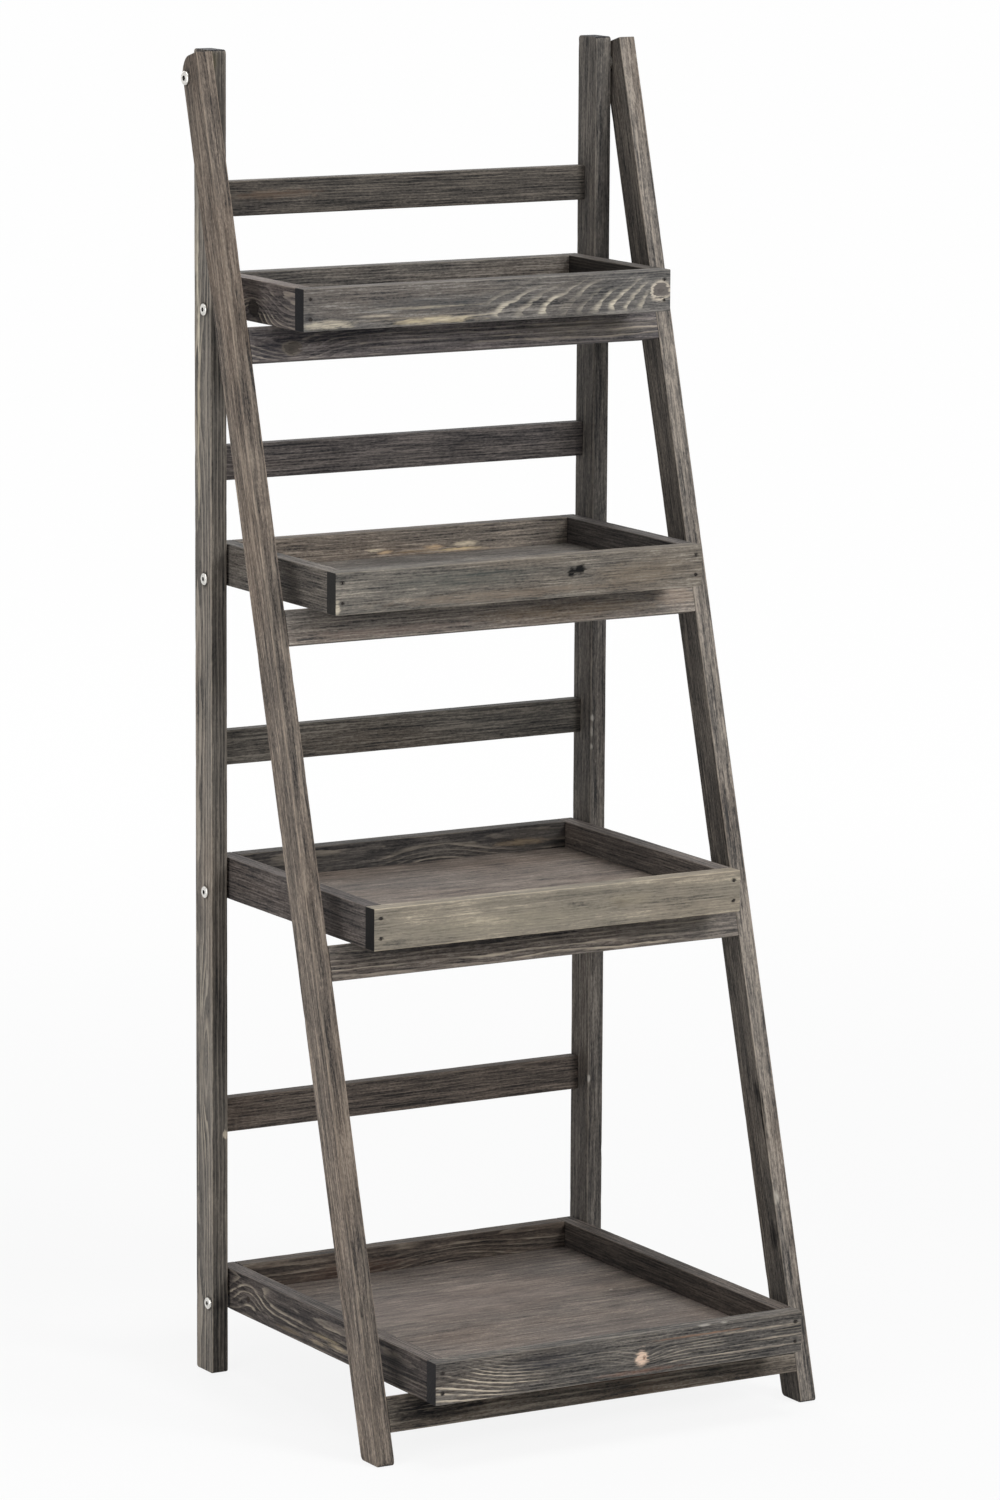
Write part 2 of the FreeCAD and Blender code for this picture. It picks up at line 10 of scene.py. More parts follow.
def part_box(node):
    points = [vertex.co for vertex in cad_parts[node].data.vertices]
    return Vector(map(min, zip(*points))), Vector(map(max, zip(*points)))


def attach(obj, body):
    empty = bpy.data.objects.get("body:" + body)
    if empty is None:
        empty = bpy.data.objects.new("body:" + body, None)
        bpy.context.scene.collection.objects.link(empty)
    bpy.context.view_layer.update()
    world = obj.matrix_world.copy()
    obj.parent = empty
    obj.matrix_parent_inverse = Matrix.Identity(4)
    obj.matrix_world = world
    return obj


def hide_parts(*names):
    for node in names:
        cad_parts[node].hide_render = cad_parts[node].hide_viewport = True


MM = 0.001

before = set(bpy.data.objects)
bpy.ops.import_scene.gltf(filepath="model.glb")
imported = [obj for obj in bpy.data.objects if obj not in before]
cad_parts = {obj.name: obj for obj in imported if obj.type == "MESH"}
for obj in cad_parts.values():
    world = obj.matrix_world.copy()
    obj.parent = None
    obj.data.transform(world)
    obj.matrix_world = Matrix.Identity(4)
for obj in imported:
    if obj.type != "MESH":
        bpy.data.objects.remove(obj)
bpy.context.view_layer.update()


# Camera, fitted to the photograph: it stands to the left and a little above the shelf

AZIMUTH = math.radians(30.22)
PITCH = math.radians(9.93)
ROLL = math.radians(0.32)
TARGET = Vector((103.3, 192.0, 613.1)) * MM
DISTANCE = 6887.2 * MM
FOCAL_PIXELS = 6750.61
FRAME_HEIGHT = 1500
SENSOR_HEIGHT = 36
CLIP_END = 100


def make_camera():
    """Camera that looks at the target from its distance, turned by azimuth, pitch and roll."""
    data = bpy.data.cameras.new("camera")
    data.sensor_fit = "VERTICAL"
    data.sensor_height = SENSOR_HEIGHT
    data.lens = FOCAL_PIXELS / FRAME_HEIGHT * SENSOR_HEIGHT
    data.clip_end = CLIP_END
    level = math.cos(PITCH)
    forward = Vector((math.sin(AZIMUTH) * level, math.cos(AZIMUTH) * level, -math.sin(PITCH)))
    level_right = Vector((math.cos(AZIMUTH), -math.sin(AZIMUTH), 0))
    level_up = level_right.cross(forward)
    right = math.cos(ROLL) * level_right + math.sin(ROLL) * level_up
    up = math.cos(ROLL) * level_up - math.sin(ROLL) * level_right
    camera = bpy.data.objects.new("camera", data)
    turn = Matrix((right, up, -forward)).transposed()
    camera.matrix_world = Matrix.Translation(TARGET - forward * DISTANCE) @ turn.to_4x4()
    bpy.context.scene.collection.objects.link(camera)
    bpy.context.scene.camera = camera


# Boards

X, Y, Z = Vector((1, 0, 0)), Vector((0, 1, 0)), Vector((0, 0, 1))
LEAN = math.radians(15.6)
LEG_AXIS = Vector((0, math.sin(LEAN), math.cos(LEAN)))
LEG_ACROSS = Vector((0, math.cos(LEAN), -math.sin(LEAN)))
TRAYS = range(1, 5)


class Board:
    """A wooden CAD node with its own axes: along the grain, across the board and through it.

    The reach along each axis, the middle and the half sizes are read from the node, in metres.
    """

    def __init__(self, node, along, across, through):
        self.node = node
        self.axes = (along, across, through)
        self.reach = []
        self.middle = Vector()
        for axis in self.axes:
            places = [vertex.co.dot(axis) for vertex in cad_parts[node].data.vertices]
            self.reach.append((min(places), max(places)))
            self.middle += axis * sum(self.reach[-1]) / 2
        self.half = [(high - low) / 2 for low, high in self.reach]

    def point(self, along, across, through):
        """Place in the scene of a point given in the board's own axes."""
        u, v, w = self.axes
        return self.middle + u * along + v * across + w * through


def find_boards():
    """All boards by their node's name, in a fixed order."""
    boards = {}

    def add(node, *axes):
        boards[node] = Board(node, *axes)

    for side in ("left", "right"):
        add(f"rear_leg_{side}", Z, Y, X)
        add(f"front_leg_{side}", LEG_AXIS, LEG_ACROSS, X)
    for number in TRAYS:
        add(f"back_rail_{number}", X, Z, Y)
        add(f"front_rail_{number}", X, LEG_AXIS, LEG_ACROSS)
        for place in ("front", "rear"):
            add(f"tray_{number}_{place}_board", X, Z, Y)
        for place in ("left", "right"):
            add(f"tray_{number}_{place}_board", Y, Z, X)
        add(f"tray_{number}_panel", X, Y, Z)
    return boards


boards = find_boards()


def body_of(name):
    """Body that a node rides on."""
    if name.startswith("tray"):
        return name[:len("tray_1")]
    return "front_frame" if name.startswith("front") else "rear_frame"


def bolt_axis(node):
    """Depth and height of the axis of a pair of bolts."""
    low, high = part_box(node)
    return (low[1] + high[1]) / 2, (low[2] + high[2]) / 2


# Node helpers

MIX_FACTOR, MIX_FIRST, MIX_SECOND = 0, 6, 7  # inputs of a Mix node for colours
MIX_RESULT = 2


def srgb(text):
    """Linear colour from a hexadecimal sRGB one."""
    values = [int(text[i:i + 2], 16) / 255 for i in (0, 2, 4)]
    return tuple(v / 12.92 if v <= 0.04045 else ((v + 0.055) / 1.055) ** 2.4 for v in values)


class Nodes:
    """Adds nodes to a tree and wires them in one call. A socket given as a value is linked."""

    def __init__(self, tree):
        self.tree = tree

    def set(self, socket, value):
        if isinstance(value, bpy.types.NodeSocket):
            self.tree.links.new(value, socket)
        elif socket.type == "RGBA":
            socket.default_value = (*value[:3], 1)
        else:
            socket.default_value = value

    def add(self, kind, inputs=None, **settings):
        node = self.tree.nodes.new(kind)
        for name, value in settings.items():
            setattr(node, name, value)
        for key, value in (inputs or {}).items():
            self.set(node.inputs[key], value)
        return node

    def maths(self, operation, a, b=0.0, c=0.0):
        return self.add("ShaderNodeMath", {0: a, 1: b, 2: c}, operation=operation).outputs[0]

    def plus(self, a, b):
        return self.maths("ADD", a, b)

    def minus(self, a, b):
        return self.maths("SUBTRACT", a, b)

    def times(self, a, b):
        return self.maths("MULTIPLY", a, b)

    def fused(self, a, b, c):
        """a times b plus c."""
        return self.maths("MULTIPLY_ADD", a, b, c)

    def length(self, a, b):
        return self.maths("SQRT", self.plus(self.times(a, a), self.times(b, b)))

    def vector(self, operation, a, b):
        return self.add("ShaderNodeVectorMath", {0: a, 1: b}, operation=operation).outputs

    def scaled(self, vector, factors):
        """Place or colour times a factor for each of its three values."""
        return self.vector("MULTIPLY", vector, factors)[0]

    def combine(self, x, y, z):
        return self.add("ShaderNodeCombineXYZ", {0: x, 1: y, 2: z}).outputs[0]

    def noise(self, place, detail=2.0, roughness=0.5):
        values = {"Vector": place, "Scale": 1.0, "Detail": detail, "Roughness": roughness}
        return self.add("ShaderNodeTexNoise", values).outputs[0]

    def signed_noise(self, place, detail, roughness):
        """Noise from about -1 to 1."""
        return self.fused(self.noise(place, detail, roughness), 4.0, -2.0)

    def lot(self, value):
        """Random number from 0 to 1, the same between two whole values."""
        whole = self.maths("FLOOR", value)
        return self.add("ShaderNodeTexWhiteNoise", {"W": whole}, noise_dimensions="1D").outputs[0]

    def smooth(self, value, low, high):
        """0 at low, 1 at high, with a smooth step between and no more beyond."""
        inputs = {"Value": value, "From Min": low, "From Max": high, "To Min": 0.0, "To Max": 1.0}
        settings = {"interpolation_type": "SMOOTHSTEP", "clamp": True}
        return self.add("ShaderNodeMapRange", inputs, **settings).outputs[0]

    def mix(self, factor, a, b):
        inputs = {MIX_FACTOR: factor, MIX_FIRST: a, MIX_SECOND: b}
        settings = {"data_type": "RGBA", "clamp_factor": True}
        return self.add("ShaderNodeMix", inputs, **settings).outputs[MIX_RESULT]


# Washed, brushed pine

WOOD_INPUTS = (
    ("Grain", "NodeSocketVector", (0, 0, 0)), ("Seed", "NodeSocketFloat", 0.0),
    ("Bend", "NodeSocketFloat", 0.0), ("Tone", "NodeSocketColor", (0.1, 0.1, 0.1, 1)),
    ("Pith across", "NodeSocketFloat", 0.06), ("Pith depth", "NodeSocketFloat", -0.03),
    ("Spacing", "NodeSocketFloat", 0.0028), ("Rings", "NodeSocketFloat", 0.4),
    ("Rubbed", "NodeSocketFloat", 0.1), ("Streaks", "NodeSocketFloat", 1.3),
    ("Blotches", "NodeSocketFloat", 1.0), ("Warmth", "NodeSocketFloat", 0.5),
)
SEED_STEPS = (7.31, 3.17, 5.77)  # how far a board's seed moves its noises along each axis
CREAM = srgb("bdb19f")
ARRIS_WIDTH = 2.0 * MM
ARRIS_FRAY = 0.5 * MM
ARRIS_WEAR_AND_HIGHLIGHT = 0.45
END_STAIN = 0.98
BRUSHING_DEPTH = 0.7 * MM


def wood_group():
    """Colour and height of washed wood at a place in a board's own axes, in metres."""
    tree = bpy.data.node_groups.new("washed wood", "ShaderNodeTree")
    for name, kind, value in WOOD_INPUTS:
        tree.interface.new_socket(name, in_out="INPUT", socket_type=kind).default_value = value
    for name, kind in (("Colour", "NodeSocketColor"), ("Height", "NodeSocketFloat")):
        tree.interface.new_socket(name, in_out="OUTPUT", socket_type=kind)
    n = Nodes(tree)
    inlet = n.add("NodeGroupInput").outputs
    along, across, through = n.add("ShaderNodeSeparateXYZ", {0: inlet["Grain"]}).outputs

    def place(lengthwise, crosswise, shift):
        """Place for a noise, with its own scale along the grain, in cycles per metre."""
        moved = [n.fused(inlet["Seed"], step, shift) for step in SEED_STEPS]
        return n.combine(n.fused(along, lengthwise, moved[0]), n.fused(across, crosswise, moved[1]),
                         n.fused(through, crosswise, moved[2]))

    def signed(lengthwise, crosswise, shift, detail, roughness=0.55):
        return n.signed_noise(place(lengthwise, crosswise, shift), detail, roughness)

    # Year rings are cylinders round a pith beside the board, which wanders along it.
    wander = n.times(signed(4, 10, 1.0, 2.0), 0.0012)
    ripple = n.times(signed(16, 120, 2.0, 3.0, 0.6), 0.0008)
    side = n.minus(across, inlet["Pith across"])
    depth = n.minus(through, n.plus(inlet["Pith depth"], n.times(wander, 2.0)))
    radius = n.plus(n.plus(n.length(side, depth), inlet["Bend"]), n.plus(wander, ripple))
    turns = n.maths("DIVIDE", radius, inlet["Spacing"])
    phase = n.maths("FRACT", turns)
    strength = n.fused(n.lot(turns), 0.9, 0.25)
    late = n.times(n.times(n.smooth(phase, 0.5, 0.86), n.smooth(phase, 1.0, 0.92)), strength)
    early = n.times(n.smooth(phase, 0.45, 0.02), strength)

    # Fibres of several widths, pores and stains
    fine = signed(30, 850, 3.0, 3.0, 0.7)
    middle = signed(20, 400, 9.0, 3.0, 0.65)
    broad = signed(8, 170, 4.0, 3.0, 0.6)
    speckle = signed(230, 620, 10.0, 2.0, 0.7)
    pores = n.noise(place(38, 900, 5.0), 1.0)
    blotch = signed(9, 34, 6.0, 4.0, 0.65)
    cloud = signed(3, 12, 7.0, 2.0)
    scatter = n.noise(place(14, 60, 8.0), 3.0, 0.65)

    coarse = n.fused(broad, 0.38, n.times(speckle, 0.4))
    streaks = n.fused(fine, 0.5, n.fused(middle, 0.55, coarse))
    level = n.fused(blotch, n.times(inlet["Blotches"], 0.35), n.times(streaks, inlet["Streaks"]))
    dark = n.scaled(inlet["Tone"], (0.26, 0.28, 0.31))
    light = n.scaled(inlet["Tone"], (2.2, 2.15, 2.05))
    warm = n.scaled(inlet["Tone"], (1.2, 1.0, 0.84))
    warmth = n.times(n.smooth(cloud, -0.2, 0.9), inlet["Warmth"])
    colour = n.mix(warmth, inlet["Tone"], warm)
    colour = n.mix(n.smooth(level, 0.0, -0.95), colour, dark)
    colour = n.mix(n.smooth(level, 0.0, 1.0), colour, light)
    # Brushing leaves the hard late wood standing, where the wash is rubbed off.
    colour = n.mix(n.times(early, n.times(inlet["Rings"], 0.55)), colour, dark)
    colour = n.mix(n.times(late, n.times(inlet["Rings"], 0.7)), colour, light)
    rubbed = n.times(inlet["Rubbed"], n.smooth(scatter, 0.4, 0.6))
    colour = n.mix(n.times(late, rubbed), colour, CREAM)
    colour = n.mix(n.times(n.smooth(pores, 0.63, 0.74), 0.6), colour, dark)
    fibres = n.fused(fine, 0.13, n.fused(middle, 0.16, 0.4))
    height = n.fused(late, n.times(inlet["Rings"], 0.9), fibres)
    n.add("NodeGroupOutput", {"Colour": colour, "Height": height})
    return tree


WOOD = wood_group()


class BoardNodes(Nodes):
    """Nodes that paint one board. Places and sizes are in millimetres from the board's middle."""

    def __init__(self, tree, board, seed):
        super().__init__(tree)
        self.board = board
        self.seed = seed
        coordinates = self.add("ShaderNodeTexCoord").outputs
        self.normal = coordinates["Normal"]
        offset = self.vector("SUBTRACT", coordinates["Object"], board.middle)[0]
        self.local = [self.vector("DOT_PRODUCT", offset, axis)["Value"] for axis in board.axes]
        self.along, self.across, self.through = self.local
        self.fuzz = self.mottle(80, 300)
        self.grit = self.mottle(60, 750)
        self.drift = self.mottle(24, 50)
        self.fibre = self.fused(self.smooth(self.grit, -0.5, 0.4), 0.6, 0.4)

    def mottle(self, lengthwise, crosswise):
        """Noise from about -1 to 1, with scales in cycles per metre."""
        spot = self.combine(self.fused(self.along, lengthwise, self.seed),
                            self.times(self.across, crosswise),
                            self.times(self.through, crosswise))
        return self.signed_noise(spot, 3.0, 0.6)

    def distance(self, at, to, length, width, inward=0, depth=0):
        """Distance from a spot, in shares of its half sizes. With no depth it goes through."""
        away = self.length(self.fused(self.along, 1 / (length * MM), -at / length),
                           self.fused(self.across, 1 / (width * MM), -to / width))
        if depth:
            away = self.length(away, self.fused(self.through, 1 / (depth * MM), -inward / depth))
        return away

    def facing(self, axis):
        """Cosine of the angle between the surface's normal and an axis."""
        return self.vector("DOT_PRODUCT", self.normal, axis)["Value"]

    def bend(self, knots):
        """How far the knots move the year rings, in metres."""
        bend = 0.0
        for at, to, _, length, width, lift, *_ in knots:
            away = self.distance(at, to, length, width)
            swell = self.maths("EXPONENT", self.times(self.times(away, away), -1.0))
            bend = self.fused(swell, lift * MM, bend)
        return bend

    def rubbed(self, share, rubs):
        """Share of the finish that is rubbed off the rings, which is larger at the rubs."""
        for at, to, length, width, strength in rubs:
            away = self.fused(self.fuzz, 0.15, self.distance(at, to, length, width))
            share = self.fused(self.smooth(away, 1.1, 0.5), strength, share)
        return share

    def with_patch(self, colour, at, to, length, width, shade, strength, *inward):
        """Colour with a patch frayed along the fibres: stains, scuffs, painted shadow and light."""
        away = self.distance(at, to, length, width, *inward)
        away = self.fused(self.fuzz, 0.35, self.fused(self.grit, 0.4, away))
        cover = self.times(self.smooth(away, 1.15, 0.45), self.times(self.fibre, strength))
        return self.mix(cover, colour, srgb(shade))

    def with_sweep(self, colour, start, stop, low, high, first, last, lean, shade, strength):
        """Colour with pale rings that sweep up the board in hooks and fade out at the top."""
        reach = self.fused(self.along, 1 / MM, -start)
        rise = self.fused(self.across, 1 / (MM * (high - low)), -low / (high - low))
        closing = (1 / last - 1 / first) / (stop - start) / 2
        turns = self.times(reach, self.fused(reach, closing, 1 / first))
        hook = self.maths("POWER", self.maths("MAXIMUM", rise, 0.0), 1.6)
        turns = self.fused(hook, -lean, turns)
        turns = self.fused(self.drift, 0.3, self.fused(self.fuzz, 0.05, turns))
        phase = self.maths("FRACT", turns)
        line = self.times(self.smooth(phase, 0.45, 0.85), self.smooth(phase, 1.0, 0.9))
        line = self.times(line, self.smooth(self.drift, -0.9, 0.3))
        line = self.times(line, self.fused(self.lot(turns), 0.8, 0.3))
        far_end = self.smooth(reach, stop - start, stop - start - 10)
        fade = self.times(self.smooth(reach, 0, 30), far_end)
        height = self.times(self.smooth(rise, -0.15, 0.1), self.smooth(rise, 1.3, 0.4))
        cover = self.times(self.times(line, self.times(fade, height)),
                           self.times(self.fibre, strength))
        return self.mix(cover, colour, srgb(shade))

    def with_knot(self, colour, at, to, radii, shade, rim):
        """Colour with a ringed knot, which has a broken rim."""
        away = self.distance(at, to, *radii)
        away = self.fused(self.fuzz, 0.3, self.fused(self.grit, 0.18, away))
        waves = self.maths("SINE", self.times(away, 9.0))
        rings = self.fused(waves, 0.35, self.times(self.grit, 0.6))
        core = self.mix(self.smooth(rings, -0.5, 1.1), srgb(shade),
                        self.scaled(srgb(shade), (0.45, 0.45, 0.45)))
        colour = self.mix(self.times(self.smooth(away, 1.02, 0.86), 0.9), colour, core)
        line = self.times(self.smooth(away, 0.7, 0.9), self.smooth(away, 1.18, 0.98))
        breaks = self.smooth(self.plus(self.grit, self.fuzz), -1.0, 0.5)
        return self.mix(self.times(line, breaks), colour, srgb(rim))

    def with_painted_face_shade(self, colour, faces):
        """Colour with painted shade on the named faces, each scaled by its gain."""
        for name, gain in faces.items():
            axis = self.board.axes[int(name[1])] * (-1 if name[0] == "-" else 1)
            facing = self.smooth(self.facing(axis), 0.4, 0.8)
            colour = self.scaled(colour, self.mix(facing, (1, 1, 1), (gain, gain, gain)))
        return colour

    def with_worn_highlit_arrises(self, colour, tone):
        """Colour paler along the arrises: the finish rubbed through, and a painted highlight."""
        sides = [self.minus(self.maths("ABSOLUTE", self.local[i]), self.board.half[i] - ARRIS_WIDTH)
                 for i in (1, 2)]
        arris = self.fused(self.fuzz, ARRIS_FRAY, self.maths("MINIMUM", *sides))
        # Paler arrises: worn finish and painted highlight together
        worn = self.times(self.smooth(arris, ARRIS_FRAY, ARRIS_WIDTH), ARRIS_WEAR_AND_HIGHLIGHT)
        return self.mix(worn, colour, self.scaled(srgb(tone), (2.6, 2.5, 2.3)))

    def with_dark_ends(self, colour, shade):
        """Colour with end grain, which soaks up more of the wash."""
        facing = self.maths("ABSOLUTE", self.facing(self.board.axes[0]))
        soaked = self.times(self.smooth(facing, 0.6, 0.85), END_STAIN)
        return self.mix(soaked, colour, srgb(shade))


# Nails leave stains on the wood round them, and a painted shadow darkens it round the bolt heads.
# Each is a half length and a half width in millimetres, a colour and a strength.

NAIL_HEIGHTS = (11, -9)
NAIL_STAIN = (3, 2.4, "171515", 1.3)
FRONT_NAIL_INSET = 7.5
SIDE_NAIL_INSET = 9
HINGE_SHADOW = (10.5, 10.5, "1f1c1b", 1.2)
PIVOT_SHADOW = (9, 9, "1f1c1b", 1.2)


def nail_stains(board):
    """Patches at a front board's two ends, and at a side board's rear end."""
    length = board.half[0] / MM
    if "front_board" in board.node:
        places = (FRONT_NAIL_INSET - length, length - FRONT_NAIL_INSET)
    elif "left_board" in board.node or "right_board" in board.node:
        places = (length - SIDE_NAIL_INSET,)
    else:
        places = ()
    return [(place, height, *NAIL_STAIN) for place in places for height in NAIL_HEIGHTS]


def bolt_shadows(board):
    """Painted shadow round the bolt heads on a leg, as patches."""
    if "rear_leg" in board.node:
        bolts = [(f"tray_{number}_pivot_bolts", PIVOT_SHADOW) for number in TRAYS]
    else:
        bolts = [("hinge_bolts", HINGE_SHADOW)] if "front_leg" in board.node else []
    patches = []
    # Each size and colour here is a painted shadow round a bolt head.
    for node, shadow in bolts:
        offset = Vector((board.middle.x, *bolt_axis(node))) - board.middle
        patches.append((*(offset.dot(axis) / MM for axis in board.axes[:2]), *shadow))
    return patches


def wood_material(board, seed, tone, pith, spacing=2.8, stretch=None, rubbed=0.08, faces=None,
                  end="1a1a1e", knots=(), rubs=(), patches=(), sweeps=(), **figure):
    """Washed wood of one board, from its entry in LOOKS. figure holds more inputs of the wood."""
    material = bpy.data.materials.new(board.node)
    material.use_nodes = True
    n = BoardNodes(material.node_tree, board, seed)
    grain = n.combine(*n.local)
    if stretch:
        grain = n.scaled(grain, stretch)
    values = {"Grain": grain, "Seed": seed, "Bend": n.bend(knots), "Tone": srgb(tone),
              "Pith across": pith[0] * MM, "Pith depth": pith[1] * MM, "Spacing": spacing * MM,
              "Rubbed": n.rubbed(rubbed, rubs)}
    values.update((word.capitalize(), amount) for word, amount in figure.items())
    wood = n.add("ShaderNodeGroup", values, node_tree=WOOD).outputs

    colour = wood["Colour"]
    # Stains and scuffs, with painted shadow and light in places and round the bolt heads
    for patch in (*patches, *nail_stains(board), *bolt_shadows(board)):
        colour = n.with_patch(colour, *patch)
    for sweep in sweeps:
        colour = n.with_sweep(colour, *sweep)
    for at, to, radii, _, _, _, *shades in knots:
        if radii:
            colour = n.with_knot(colour, at, to, radii, *shades)
    # Painted shade on whole faces
    colour = n.with_painted_face_shade(colour, faces or {})
    colour = n.with_worn_highlit_arrises(colour, tone)
    colour = n.with_dark_ends(colour, end)

    shader = material.node_tree.nodes["Principled BSDF"]
    n.set(shader.inputs["Base Color"], colour)
    n.set(shader.inputs["Roughness"], n.fused(wood["Height"], -0.14, 0.8))
    shader.inputs["Specular IOR Level"].default_value = 0.14
    brushing = {"Strength": 0.5, "Distance": BRUSHING_DEPTH, "Height": wood["Height"]}
    bump = n.add("ShaderNodeBump", brushing)
    n.set(shader.inputs["Normal"], bump.outputs[0])
    return material
